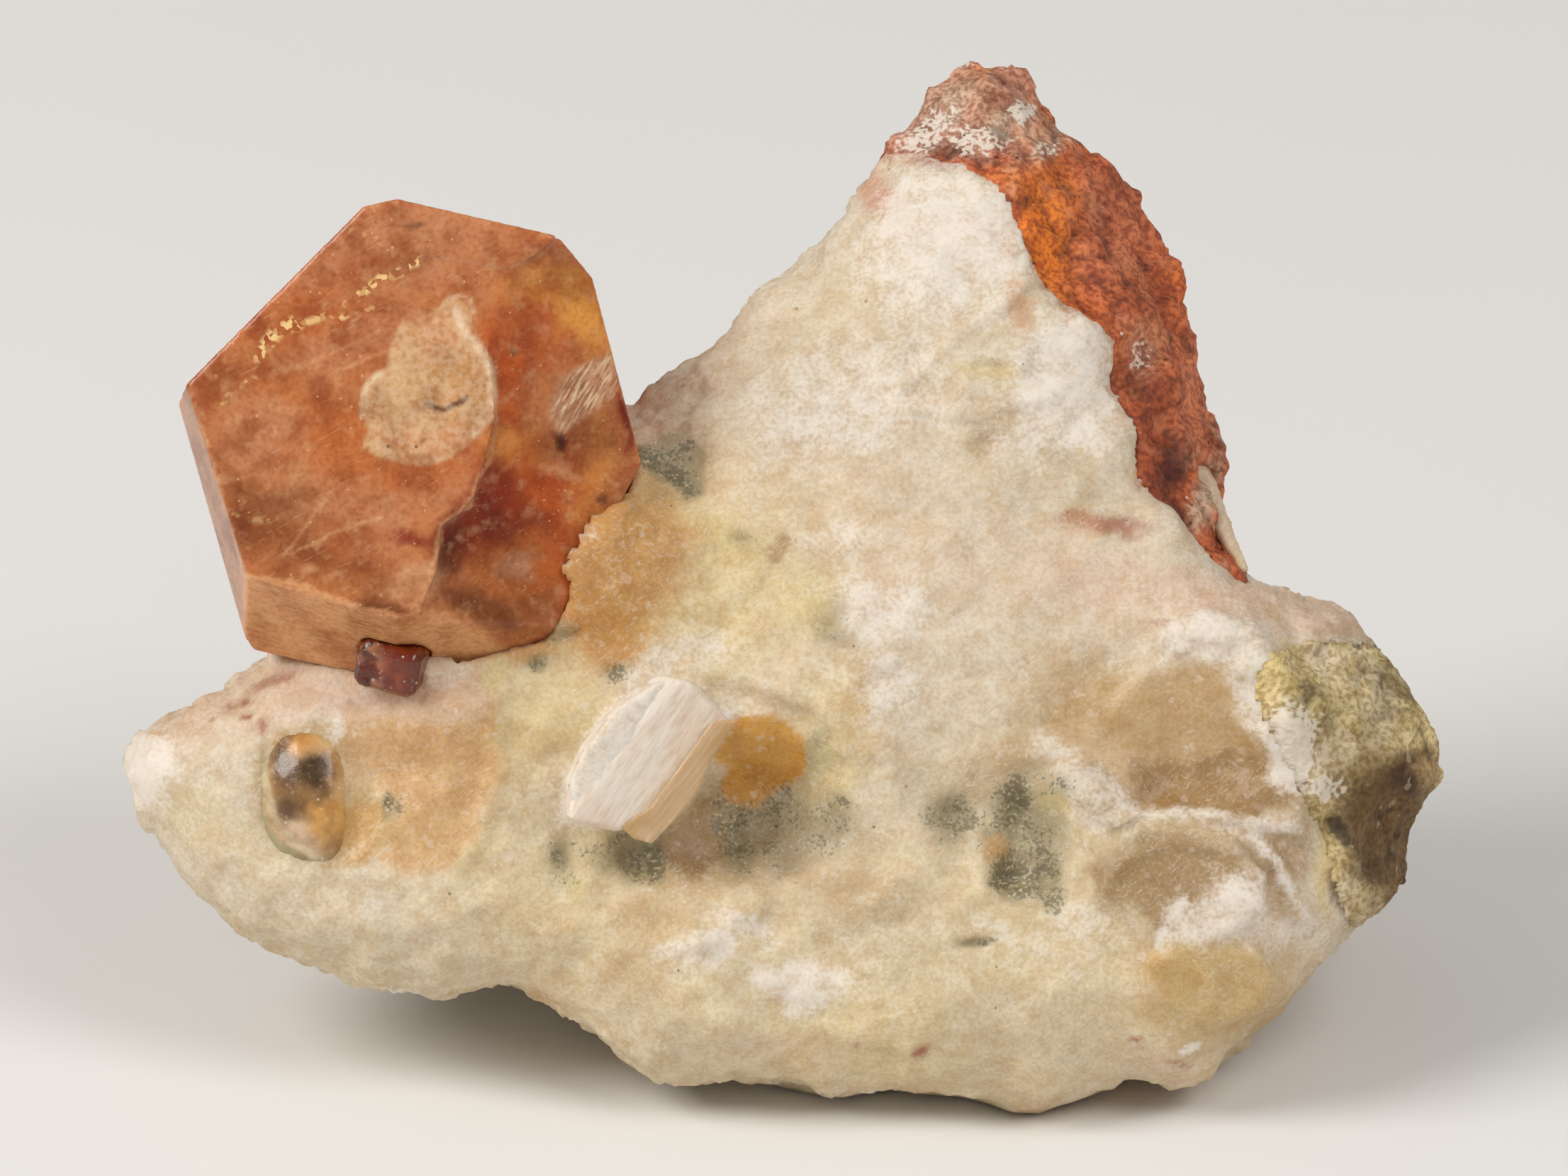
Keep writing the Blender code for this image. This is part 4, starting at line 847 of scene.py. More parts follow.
def normals_of(obj):
    flat = np.empty(len(obj.data.vertices) * 3)
    obj.data.vertices.foreach_get("normal", flat)
    return flat.reshape(-1, 3) @ np.array(TO_FACE.to_3x3()).T


def set_points(obj, points):
    turn = np.array(TO_WORLD.to_3x3())
    world = points @ turn.T + np.array(TO_WORLD.translation)
    obj.data.vertices.foreach_set("co", (world * MM).ravel())
    obj.data.update()


def keep_value(obj, name, values):
    """Stores one number for each vertex."""
    held = obj.data.attributes.new(name, "FLOAT", "POINT")
    held.data.foreach_set("value", np.ascontiguousarray(values, dtype=np.float32))


def keep_vector(obj, name, values):
    held = obj.data.attributes.new(name, "FLOAT_VECTOR", "POINT")
    held.data.foreach_set("vector", np.ascontiguousarray(values, dtype=np.float32).ravel())


def keep_colour(obj, name, values):
    held = obj.data.attributes.new(name, "FLOAT_COLOR", "POINT")
    four = np.ones((len(values), 4), np.float32)
    four[:, :3] = values
    held.data.foreach_set("color", four.ravel())


def keep_stains(obj, canvas, *names):
    """Stores a canvas's colours, the places in the face frame and the canvas's values of these names."""
    keep_colour(obj, "tint", canvas.colour)
    if "face" not in obj.data.attributes:
        keep_vector(obj, "face", canvas.points)
    for name in names:
        keep_value(obj, name, getattr(canvas, name))


def line_distance(place, line):
    best = np.full(len(place), np.inf)
    for start, end in zip(line, line[1:]):
        start = np.array(start)
        along = np.array(end) - start
        share = np.clip((place - start) @ along / (along @ along), 0.0, 1.0)
        best = np.minimum(best, np.linalg.norm(place - start - share[:, None] * along, axis=1))
    return best


def inside(place, outline):
    found = np.zeros(len(place), bool)
    u, v = place[:, 0], place[:, 1]
    for (u0, v0), (u1, v1) in zip(outline, outline[1:] + outline[:1]):
        if v0 == v1:
            continue
        crosses = (v0 > v) != (v1 > v)
        found ^= crosses & (u < u0 + (v - v0) * (u1 - u0) / (v1 - v0))
    return found


def depth_in(place, outline):
    """How far each place lies within an outline, in millimetres, less than 0 outside."""
    distance = line_distance(place, outline + outline[:1])
    return np.where(inside(place, outline), distance, -distance)


def distance_to(points, node):
    """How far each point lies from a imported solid, in millimetres."""
    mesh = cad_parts[node].data
    corners = [(TO_FACE @ (v.co / MM)) for v in mesh.vertices]
    tree = BVHTree.FromPolygons(corners, [tuple(face.vertices) for face in mesh.polygons])
    found = [tree.find_nearest(Vector(point), FAR_AWAY)[3] for point in points]
    return np.array([FAR_AWAY if distance is None else distance for distance in found])


def step(values, low, high):
    share = np.clip((values - low) / (high - low), 0.0, 1.0)
    return share * share * (3.0 - 2.0 * share)


def region_depth(points, outline, slant, front_w):
    """Depth in a region whose border slants as it goes back."""
    place = points[:, :2].copy()
    place[:, 0] -= slant * (points[:, 2] - front_w)
    return depth_in(place, outline)


def lottery(places, salt):
    """A random number from 0 to 1 for each place in whole numbers, always the same one."""
    mixed = places[:, 0] * 73856093 ^ places[:, 1] * 19349663 ^ places[:, 2] * 83492791 ^ salt * 50331653
    mixed = (mixed ^ (mixed >> 13)) * 1274126177
    mixed = (mixed ^ (mixed >> 15)) * 668265263
    return ((mixed ^ (mixed >> 16)) & 0xFFFFF) / 0xFFFFF


# Each octave of the noise is turned another way
OCTAVE_TURN = [
    np.array(Matrix.Rotation(0.4 + octave, 3, Vector((1, 2, 3 - octave)))) for octave in range(5)
]


def noise_at(points, size, octaves=3, shift=0.0):
    """Soft clouds of a given size, about -0.7 to 0.7."""
    total = np.zeros(len(points))
    for octave in range(octaves):
        place = points @ OCTAVE_TURN[octave] * (2.1 ** octave / size) + shift
        whole = np.floor(place).astype(np.int64)
        part = place - whole
        part = part * part * (3.0 - 2.0 * part)
        for corner in itertools.product((0, 1), repeat=3):
            share = np.prod(np.where(corner, part, 1.0 - part), axis=1)
            total += share * (lottery(whole + corner, octave) - 0.5) * 1.5 * 0.54 ** octave
    return total


def facets_at(points, size, shift=0.0):
    """Heights of flat facets that tilt at random from cell to cell, and how far the cell's edge is."""
    place = points / size + shift
    whole = np.floor(place).astype(np.int64)
    heights = np.zeros(len(points))
    nearest = np.full(len(points), np.inf)
    second = np.full(len(points), np.inf)
    for corner in itertools.product((-1, 0, 1), repeat=3):
        cell = whole + corner
        gap = place - cell - np.stack([lottery(cell, salt) for salt in (1, 2, 3)], axis=1)
        tilt = np.stack([lottery(cell, salt) for salt in (4, 5, 6)], axis=1) - 0.5
        distance = np.linalg.norm(gap, axis=1)
        closer = distance < nearest
        second = np.where(closer, nearest, np.minimum(second, distance))
        heights = np.where(closer, (gap * tilt).sum(axis=1), heights)
        nearest = np.where(closer, distance, nearest)
    return heights, second - nearest


# Stains

# Dark mineral and white quartz break up into grains, which the finishes draw where these are laid
DARK_PAINTS = {"charcoal": 0.95, "dark_smoke": 0.6, "grey_green": 0.5, "coal": 1.2}
MILKY_PAINTS = ("white", "cold_white", "frost")
RIND_PAINTS = ("orange", "rosy_rust", "dark_rust", "maroon", "pale_rust", "frost")


class Canvas:
    """The colours of a surface while stains are laid on it."""

    def __init__(self, points, base, facing):
        self.points = points
        self.colour = np.tile(np.array(base), (len(points), 1))
        self.gloss = np.zeros(len(points))
        self.grime = np.zeros(len(points))
        self.milk = np.zeros(len(points))
        self.facing = facing
        self.place = points[:, :2]
        self.drift = np.stack([noise_at(points, 2.4, 3, 21.0), noise_at(points, 2.4, 3, 37.0)], axis=1)
        self.fray = np.stack([noise_at(points, 0.8, 2, 5.0), noise_at(points, 0.8, 2, 13.0)], axis=1)

    def lay(self, tint, mask, gloss=0.0):
        share = np.clip(mask, 0.0, 1.0) * self.facing
        if tint in DARK_PAINTS:
            self.grime = np.maximum(self.grime, share * DARK_PAINTS[tint])
            share = share * 0.5
        if tint in MILKY_PAINTS:
            self.milk = np.maximum(self.milk, share)
            share = share * 0.5
        self.colour = self.colour * (1 - share[:, None]) + np.array(PAINTS[tint]) * share[:, None]
        self.gloss = np.maximum(self.gloss * (1 - share), share * gloss)

    def spots(self, spots, fray=0.3):
        for tint, mid_u, mid_v, long, wide, turn, strength, *edge in spots:
            soft, gloss = (*edge, *PLAIN_EDGE[len(edge):])
            least = min(long, wide)
            place = self.place + min(1.2, 0.5 * least) * self.drift + min(fray, 0.5 * least) * self.fray
            mask = 1.0 - step(oval(place, mid_u, mid_v, long, wide, turn), 1.0 - soft, 1.0 + soft)
            self.lay(tint, mask * strength, gloss)

    def bands(self, bands, fray=0.3):
        for tint, line, half_width, strength in bands:
            place = self.place + fray * self.drift + min(fray, half_width) * self.fray
            mask = 1.0 - step(line_distance(place, line), 0.3 * half_width, 1.5 * half_width)
            self.lay(tint, mask * strength)

    def patches(self, patches, fray=0.3):
        for tint, outline, strength, soft, *gloss in patches:
            place = self.place + fray * (self.drift + self.fray)
            self.lay(tint, step(depth_in(place, outline), -soft, soft) * strength, *gloss)

    def drifts(self, drifts, share):
        """Tones on all sides, at the given share of their strength."""
        facing, self.facing = self.facing, np.ones(len(self.points))
        for tint, size, shift, start, strength in drifts:
            field = noise_at(self.points, size, 4, shift)
            self.lay(tint, step(field, start, start + 0.4) * strength * share)
        self.facing = facing


def oval(place, mid_u, mid_v, long, wide, turn):
    """How far out each place is in a turned oval, 1 on its rim."""
    angle = math.radians(turn)
    du, dv = place[:, 0] - mid_u, place[:, 1] - mid_v
    along = (du * math.cos(angle) + dv * math.sin(angle)) / long
    across = (dv * math.cos(angle) - du * math.sin(angle)) / wide
    return np.hypot(along, across)


# The rough stone in one surface


def grow_stone():
    """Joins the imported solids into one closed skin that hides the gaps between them."""
    parts = []
    for node in ROCK_NODES:
        part = copy_of(node, "stone_" + node)
        modify(part, "DISPLACE", strength=SEAM * MM, mid_level=0.0)
        parts.append(part)
    stone = join(parts, "milky_matrix")
    modify(stone, "REMESH", mode="VOXEL", voxel_size=ROCK_VOXEL * MM)
    modify(stone, "SMOOTH", iterations=3, factor=0.5)
    only(stone)
    bpy.ops.object.shade_smooth()
    return stone


def stone_canvas(stone, regions):
    points, normals = points_of(stone), normals_of(stone)
    canvas = Canvas(points, PAINTS["cream"], step(normals[:, 2], -0.25, 0.15))
    on_face = step(normals[:, 2], -0.2, 0.5)
    canvas.drifts(STONE_DRIFT, 1.0 - 0.65 * on_face)
    canvas.spots([spot for spot in SPOTS if spot[0] not in RIND_PAINTS])
    canvas.patches(PATCHES)
    canvas.bands(BANDS)
    near_rind = step(regions["rind"] + 0.6 * canvas.drift[:, 0], -1.6, 0.2)
    canvas.facing = np.ones(len(points))
    canvas.lay("sand_orange", near_rind * 0.3 * step(canvas.fray[:, 0], -0.3, 0.4))
    canvas.lay("rust_fleck", near_rind * 0.5 * step(canvas.fray[:, 1], 0.15, 0.5))
    return canvas


def carve_stone(stone, regions, gloss):
    """Gives the stone its chips, crumbs, knobs and carved hollows, and returns how its borders waver."""
    points, normals = points_of(stone), normals_of(stone)
    place = points[:, :2]
    broad = noise_at(points, SWELL_SIZE)
    chips = facets_at(points, CHIP_SIZE)[0]
    crumbs = facets_at(points, CRUMB_SIZE, 5.0)[0]
    knob_edges = facets_at(points, KNOB_SIZE, 11.0)[1]
    grain = noise_at(points, GRAIN_SIZE, 2, 4.0)
    on_rind = step(regions["rind"] + 0.4 * broad, -0.4, 0.5)
    on_host = step(regions["host"] + 0.4 * broad, -0.4, 0.4) * (1 - on_rind)
    calm = (1.0 - 0.75 * gloss) * (1.15 - 0.6 * step(normals[:, 2], 0.1, 0.7))
    sugar = 0.25 * broad + calm * (0.62 * chips + 0.4 * crumbs + 0.1 * grain)
    rust = 0.35 * broad + 0.95 * np.minimum(knob_edges, 0.55) + 0.3 * crumbs + 0.12 * grain - 0.3
    rough = 0.35 * broad + 0.6 * chips + 0.45 * crumbs + 0.12 * grain
    lift = sugar * (1 - on_rind) * (1 - on_host) + rust * on_rind + rough * on_host
    facing = step(normals[:, 2], 0.0, 0.5)
    frayed = place + 0.25 * np.stack([grain, crumbs], axis=1)
    for mid_u, mid_v, long, wide, turn, height in CARVINGS:
        mask = 1.0 - step(oval(frayed, mid_u, mid_v, long, wide, turn), 0.2, 1.25)
        lift += height * mask * facing
    for line, half_width, height in RIDGES:
        lift += height * facing * (1.0 - step(line_distance(frayed, line), 0.1, 1.5 * half_width))
    for node in HELD_CRYSTALS:
        lift += CLOSE_BY * (1.0 - step(distance_to(points, node), *CLOSE_WITHIN))
    up = points @ np.array(TO_WORLD.to_3x3())[2] + FACE_ORIGIN.z
    fade = step(up, 0.0, 2.0)
    set_points(stone, points + normals * (lift * fade - SEAM)[:, None])
    return 0.35 * broad + 0.2 * grain


def part_skin(stone, depth, name):
    """The stone's skin where depth is above 0, as a closed shell of its own."""
    skin = bpy.data.objects.new(name, stone.data.copy())
    bpy.context.scene.collection.objects.link(skin)
    form = bmesh.new()
    form.from_mesh(skin.data)
    form.verts.ensure_lookup_table()
    bmesh.ops.delete(form, geom=[v for v, d in zip(form.verts, depth) if d < 0.0], context="VERTS")
    loose = [v for v in form.verts if not v.link_faces]
    bmesh.ops.delete(form, geom=loose, context="VERTS")
    form.to_mesh(skin.data)
    form.free()
    modify(skin, "SOLIDIFY", thickness=SKIN * MM, offset=-1.0)
    return skin


def draw_back(stone, depth):
    """Moves the stone in under a skin, so that the two surfaces don't lie in one place."""
    points, normals = points_of(stone), normals_of(stone)
    set_points(stone, points - normals * (UNDER_SKIN * step(depth, 0.1, 0.7))[:, None])


def make_stone():
    stone = grow_stone()
    points = points_of(stone)
    regions = {
        "rind": region_depth(points, RIND_REGION, RIND_SLANT, RIND_FRONT_W),
        "host": region_depth(points, HOST_REGION, HOST_SLANT, HOST_FRONT_W),
    }
    canvas = stone_canvas(stone, regions)
    waver = carve_stone(stone, regions, canvas.gloss)
    keep_stains(stone, canvas, "gloss", "grime", "milk")
    skins = []
    for name, region, base, drifts in (
        ("rust_rind", "rind", "rust", RIND_DRIFT),
        ("mottled_host_rock", "host", "khaki", HOST_DRIFT),
    ):
        depth = regions[region] + waver
        if region == "host":
            depth = np.minimum(depth, -regions["rind"])
        skin = part_skin(stone, depth, name)
        paint_skin(skin, base, drifts)
        skins.append((skin, depth))
    for skin, depth in skins:
        draw_back(stone, depth)
    return stone, skins[0][0], skins[1][0]


# The paints that each skin takes from the spots, and the paint of its pores
SKIN_PAINTS = {
    "rust": (
        "orange", "rosy_rust", "dark_rust", "maroon", "pale_rust", "pale_stone", "rosy_brown",
        "rust_fleck", "charcoal", "frost",
    ),
    "khaki": (
        "yellow_green", "cold_white", "butter", "grey_green", "grey_quartz", "olive", "umber",
        "dark_umber", "coal", "tan", "white", "cream",
    ),
}
PORE_PAINTS = {"rust": "maroon", "khaki": "dark_umber"}


def paint_skin(skin, base, drifts):
    points, normals = points_of(skin), normals_of(skin)
    for name in ("tint", "grime", "milk", "gloss"):
        skin.data.attributes.remove(skin.data.attributes[name])
    canvas = Canvas(points, PAINTS[base], step(normals[:, 2], -0.6, -0.1))
    knob_edges = facets_at(points, KNOB_SIZE, 11.0)[1]
    on_face = step(normals[:, 2], -0.2, 0.5)
    canvas.drifts(drifts, 1.0 - 0.4 * on_face)
    canvas.spots([spot for spot in SPOTS if spot[0] in SKIN_PAINTS[base]])
    pores = (1 - step(knob_edges, 0.0, 0.16)) * step(canvas.drift[:, 1], -0.1, 0.4)
    canvas.facing = np.ones(len(points))
    canvas.lay(PORE_PAINTS[base], pores * 0.7)
    keep_stains(skin, canvas, "grime", "milk")


# The orange crystal


def make_crystal():
    crystal = fine_copy("main_crystal", "orange_crystal", 2)
    points, normals = points_of(crystal), normals_of(crystal)
    canvas = Canvas(points, PAINTS["clay"], step(normals[:, 2], 0.02, 0.18))
    canvas.drifts(CRYSTAL_DRIFT, 1.0 - 0.75 * step(normals[:, 2], 0.1, 0.3))
    canvas.spots(CRYSTAL_SPOTS)
    canvas.patches(CRYSTAL_PATCHES, 0.14)
    foot = depth_in(canvas.place, CRYSTAL_PATCHES[FOOT_PATCH][1])
    fan = depth_in(canvas.place, CRYSTAL_PATCHES[FAN_PATCH][1])
    flake = depth_in(canvas.place, CRYSTAL_PATCHES[FLAKE_PATCH][1])
    whole, canvas.facing = canvas.facing, canvas.facing * step(flake, -0.2, 0.3)
    canvas.spots(FLAKE_SPOTS)
    canvas.facing = whole
    canvas.bands(CRYSTAL_BANDS, 0.12)
    keep_stains(crystal, canvas)
    keep_value(crystal, "striped", canvas.facing * step(foot, -0.1, 0.3))
    fan = step(fan, -0.4, 0.6) * step(normals[:, 2], 0.0, 0.3)
    keep_value(crystal, "fan", fan)
    keep_value(crystal, "flake", canvas.facing * step(flake, -0.1, 0.3))
    # Painted glints: how strongly the glitter lines sparkle at each point
    sparkle = np.zeros(len(points))
    for line, half_width, strength in GLITTER:
        away = line_distance(points[:, :2] + 0.1 * canvas.drift, line)
        sparkle = np.maximum(sparkle, strength * (1.0 - step(away, 0.3 * half_width, 1.4 * half_width)))
    keep_value(crystal, "glitter", sparkle * canvas.facing)
    ribs = noise_at(points * (1.6, 0.6, 0.3), 0.6, 2, 9.0)
    set_points(crystal, points + normals * (0.12 * ribs * fan)[:, None])
    return crystal


# Smaller pieces


def make_round_crystal():
    lens = fine_copy("round_smoky_crystal", "smoky_lens", 4)
    points = points_of(lens)
    canvas = Canvas(points, PAINTS["tan"], np.ones(len(points)))
    canvas.patches(LENS_PATCHES, 0.2)
    canvas.spots(LENS_SPOTS)
    canvas.bands(LENS_BANDS, 0.1)
    keep_stains(lens, canvas)
    points[:, 2] -= 0.2 + 0.9 * step(points[:, 0], -37.6, -35.4)
    set_points(lens, points)
    return lens


def blade_axes(points):
    """Places along the blade and across it, to the lower right."""
    along = points[:, 0] * math.cos(BLADE_TURN) + points[:, 1] * math.sin(BLADE_TURN)
    across = points[:, 0] * math.sin(BLADE_TURN) - points[:, 1] * math.cos(BLADE_TURN)
    return along, across


def paint_blade(piece, base, silk):
    """Lays the blade's colours, and gives its points, normals, lift of the fibres and places across."""
    points, normals = points_of(piece), normals_of(piece)
    along, across = blade_axes(points)
    fibres = noise_at(np.stack([along * 0.16, across * 1.1, points[:, 2] * 0.5], axis=1), 1.0, 3, 3.0)
    canvas = Canvas(points, PAINTS[base], np.ones(len(points)))
    canvas.lay("milk", step(fibres, -0.1, 0.5) * 0.5 * silk)
    canvas.lay("pink_cream", step(-fibres, 0.15, 0.5) * 0.25 * silk)
    canvas.lay("tan", step(-normals[:, 2], -0.6, 0.2) * 0.5)
    canvas.lay("pink_cream", step(canvas.drift[:, 0], 0.1, 0.5) * 0.3)
    keep_stains(piece, canvas)
    lift = 0.07 * fibres * step(normals[:, 2], 0.2, 0.7)
    return points, normals, lift, across


def make_blade():
    blade = fine_copy("white_blade", "white_blade_plate", 2)
    points, normals, lift, across = paint_blade(blade, "white", 1.0)
    middle = across.mean()
    points[:, 2] -= 0.9 * (1.0 - step(across, middle - 3.0, middle - 0.8))
    set_points(blade, points + normals * lift[:, None])
    return blade


def make_lip(blade):
    """A thin clear plate that looks out from under the blade's free edge."""
    level = points_of(blade)[:, 2].max() - LIP_DROP
    deselect()
    bpy.ops.mesh.primitive_circle_add(vertices=len(BLADE_LIP), radius=0.001, fill_type="NGON")
    lip = bpy.context.object
    lip.name = "clear_blade_lip"
    inwards = TO_WORLD.to_3x3() @ Vector((0, 0, -LIP_DEPTH * MM))
    for vertex, (u, v) in zip(lip.data.vertices, BLADE_LIP):
        vertex.co = (TO_WORLD @ Vector((u, v, level))) * MM
    bpy.ops.object.mode_set(mode="EDIT")
    bpy.ops.mesh.select_all(action="SELECT")
    bpy.ops.mesh.extrude_region_move(TRANSFORM_OT_translate={"value": inwards})
    bpy.ops.mesh.select_all(action="SELECT")
    bpy.ops.mesh.normals_make_consistent(inside=False)
    bpy.ops.object.mode_set(mode="OBJECT")
    even_mesh(lip, FINE_MESH["white_blade"], 2)
    points, normals, lift = paint_blade(lip, "clear_tan", 0.25)[:3]
    set_points(lip, points + normals * (lift * 0.6)[:, None])
    return lip


def make_red_crystal():
    red = fine_copy("red_crystal", "oxblood_crystal", 2)
    points, normals = points_of(red), normals_of(red)
    canvas = Canvas(points, PAINTS["oxblood"], np.ones(len(points)))
    canvas.lay("oxblood_light", step(canvas.drift[:, 0], 0.05, 0.5) * 0.7)
    canvas.lay("oxblood_dark", step(canvas.drift[:, 1], 0.0, 0.5) * 0.7)
    broken = step(-points[:, 0], 33.4, 34.6)
    canvas.lay("oxblood_dark", broken * step(canvas.fray[:, 0], -0.2, 0.3) * 0.7)
    canvas.lay("clay_pink", broken * step(canvas.fray[:, 1], 0.1, 0.4) * 0.6)
    keep_stains(red, canvas)
    crumbs = facets_at(points, 0.8, 2.0)[0]
    set_points(red, points + normals * (0.3 * crumbs * broken + 0.03 * canvas.fray[:, 0])[:, None])
    return red


def make_splinter():
    splinter = copy_of("pale_splinter", "pale_quartz_splinter")
    modify(splinter, "REMESH", mode="VOXEL", voxel_size=FINE_MESH["pale_splinter"] * MM)
    modify(splinter, "SMOOTH", iterations=4, factor=0.5)
    only(splinter)
    bpy.ops.object.shade_smooth()
    points, normals = points_of(splinter), normals_of(splinter)
    canvas = Canvas(points, PAINTS["pale_stone"], np.ones(len(points)))
    canvas.lay("rust_fleck", step(points[:, 1], 18.4, 21.0) * step(canvas.drift[:, 0], -0.2, 0.3) * 0.7)
    canvas.lay("straw", step(-points[:, 1], -17.5, -14.5) * 0.8)
    canvas.lay("white", step(canvas.drift[:, 1], 0.1, 0.5) * 0.5)
    keep_stains(splinter, canvas)
    chips = facets_at(points, 1.3, 6.0)[0]
    set_points(splinter, points + normals * (0.15 * chips + 0.08 * canvas.fray[:, 0])[:, None])
    return splinter


# Shader maths


class Wire:
    """A socket of a material, with operators that add the nodes for its maths."""

    def __init__(self, tree, socket=None):
        self.tree, self.socket = tree, socket

    def add(self, kind, settings=None, inputs=None, output=0):
        """Any node: its settings first, then its sockets by identifier, name or place."""
        node = self.tree.nodes.new(kind)
        for key, value in (settings or {}).items():
            setattr(node, key, value)
        for key, value in (inputs or {}).items():
            self.plug(node, key, value)
        if isinstance(output, str):
            sockets = [s for s in node.outputs if output in (s.identifier, s.name) and s.enabled]
            return Wire(self.tree, sockets[0])
        return Wire(self.tree, node.outputs[output])

    def plug(self, node, key, value):
        if isinstance(key, str):
            socket = [s for s in node.inputs if s.enabled and key in (s.identifier, s.name)][0]
        else:
            socket = node.inputs[key]
        if isinstance(value, Wire):
            self.tree.links.new(value.socket, socket)
        elif isinstance(value, tuple) and socket.type == "RGBA":
            socket.default_value = (*value, 1.0)
        else:
            socket.default_value = value

    def other(self, output):
        """Another output of the same node."""
        return Wire(self.tree, self.socket.node.outputs[output])

    def maths(self, operation, *values):
        inputs = dict(enumerate(values))
        if any(isinstance(v, Wire) and v.socket.type in ("VECTOR", "RGBA") for v in values):
            inputs = {k: v if isinstance(v, (Wire, tuple)) else (v, v, v) for k, v in inputs.items()}
            return self.add("ShaderNodeVectorMath", {"operation": operation}, inputs)
        return self.add("ShaderNodeMath", {"operation": operation}, inputs)

    def __add__(self, other):
        return self.maths("ADD", self, other)

    def __radd__(self, other):
        return self.maths("ADD", other, self)

    def __sub__(self, other):
        return self.maths("SUBTRACT", self, other)

    def __rsub__(self, other):
        return self.maths("SUBTRACT", other, self)

    def __mul__(self, other):
        return self.maths("MULTIPLY", self, other)

    def __rmul__(self, other):
        return self.maths("MULTIPLY", other, self)


def rise(value, low, high):
    """0 below low, 1 above high and smooth between."""
    inputs = {"Value": value, "From Min": low, "From Max": high}
    return value.add("ShaderNodeMapRange", {"interpolation_type": "SMOOTHSTEP"}, inputs)


def blend(share, first, second):
    """From the first colour to the second."""
    inputs = {"Factor_Float": share, "A_Color": first, "B_Color": second}
    return share.add("ShaderNodeMix", {"data_type": "RGBA"}, inputs, "Result_Color")


def multiply(colour, other):
    inputs = {"Factor_Float": 1.0, "A_Color": colour, "B_Color": other}
    settings = {"data_type": "RGBA", "blend_type": "MULTIPLY"}
    return colour.add("ShaderNodeMix", settings, inputs, "Result_Color")


def clouds(place, size, detail=3.0):
    inputs = {"Vector": place, "Scale": 1.0 / size, "Detail": detail}
    return place.add("ShaderNodeTexNoise", None, inputs, "Fac")


def cells(place, size):
    return place.add("ShaderNodeTexVoronoi", None, {"Vector": place, "Scale": 1.0 / size}, "Distance")


def stretched(place, turn, length, width):
    """The same place with its pattern drawn out along a direction in the broad face."""
    inputs = {"Vector": place, "Rotation": (0.0, 0.0, -math.radians(turn))}
    turned = place.add("ShaderNodeMapping", None, inputs)
    return turned * (1.0 / length, 1.0 / width, 1.0 / width)


def needles(place, turn, length, width, low, high):
    """Thin pale streaks that all run one way."""
    return rise(clouds(stretched(place, turn, length, width), 1.0, 1.0), low, high)


def new_finish(name):
    material = bpy.data.materials.new(name)
    material.use_nodes = True
    tree = material.node_tree
    surface = tree.nodes["Principled BSDF"]
    return material, surface, Wire(tree)


def stained_finish(name):
    """A finish over the colours laid on a piece: what new_finish gives, the place and the colour."""
    material, surface, wire = new_finish(name)
    return material, surface, wire, attribute(wire, "face"), attribute(wire, "tint", "Color")


def shade(colour, pattern, low, high, *tone):
    """Darkens a colour to a tone of it where a pattern is low."""
    return multiply(colour, blend(rise(pattern, low, high), paint(*tone), (1.0, 1.0, 1.0)))


def cover(colour, mask, tint):
    """Lays a paint over a colour."""
    return blend(mask, colour, PAINTS[tint])


def dress(wire, surface, colour, roughness, normal):
    values = {"Base Color": colour, "Roughness": roughness, "Normal": normal}
    for key, value in values.items():
        wire.plug(surface, key, value)


def set_values(surface, **values):
    for key, value in values.items():
        surface.inputs[key.replace("_", " ")].default_value = value


def attribute(wire, name, output="Vector"):
    return wire.add("ShaderNodeAttribute", {"attribute_name": name}, None, output)


def facet_normal(wire, grains, tilt):
    """The surface's direction, turned a little at random from grain to grain."""
    toss = grains.other("Color")
    turned = toss.add("ShaderNodeVectorMath", {"operation": "SUBTRACT"}, {0: toss, 1: (0.5, 0.5, 0.5)})
    both = wire.add("ShaderNodeNewGeometry", None, None, "Normal") + turned * tilt
    return both.add("ShaderNodeVectorMath", {"operation": "NORMALIZE"}, {0: both})


def bump(height, strength, distance, normal=None):
    inputs = {"Height": height, "Strength": strength, "Distance": distance * MM}
    if normal:
        inputs["Normal"] = normal
    return height.add("ShaderNodeBump", None, inputs)


def specks(place, size, radius, start, shift):
    """Small round specks in a few of the cells of a pattern."""
    near = cells(place + (shift, shift * 0.7, shift * 1.3), size)
    chosen = rise(near.other("Color"), start, start + 0.02)
    return (1.0 - rise(near, radius * 0.5 / size, radius / size)) * chosen


def granular(mask, grain, amount):
    """A soft mask broken up into grains."""
    return rise(mask + (grain - 0.5) * amount, 0.4, 0.58)


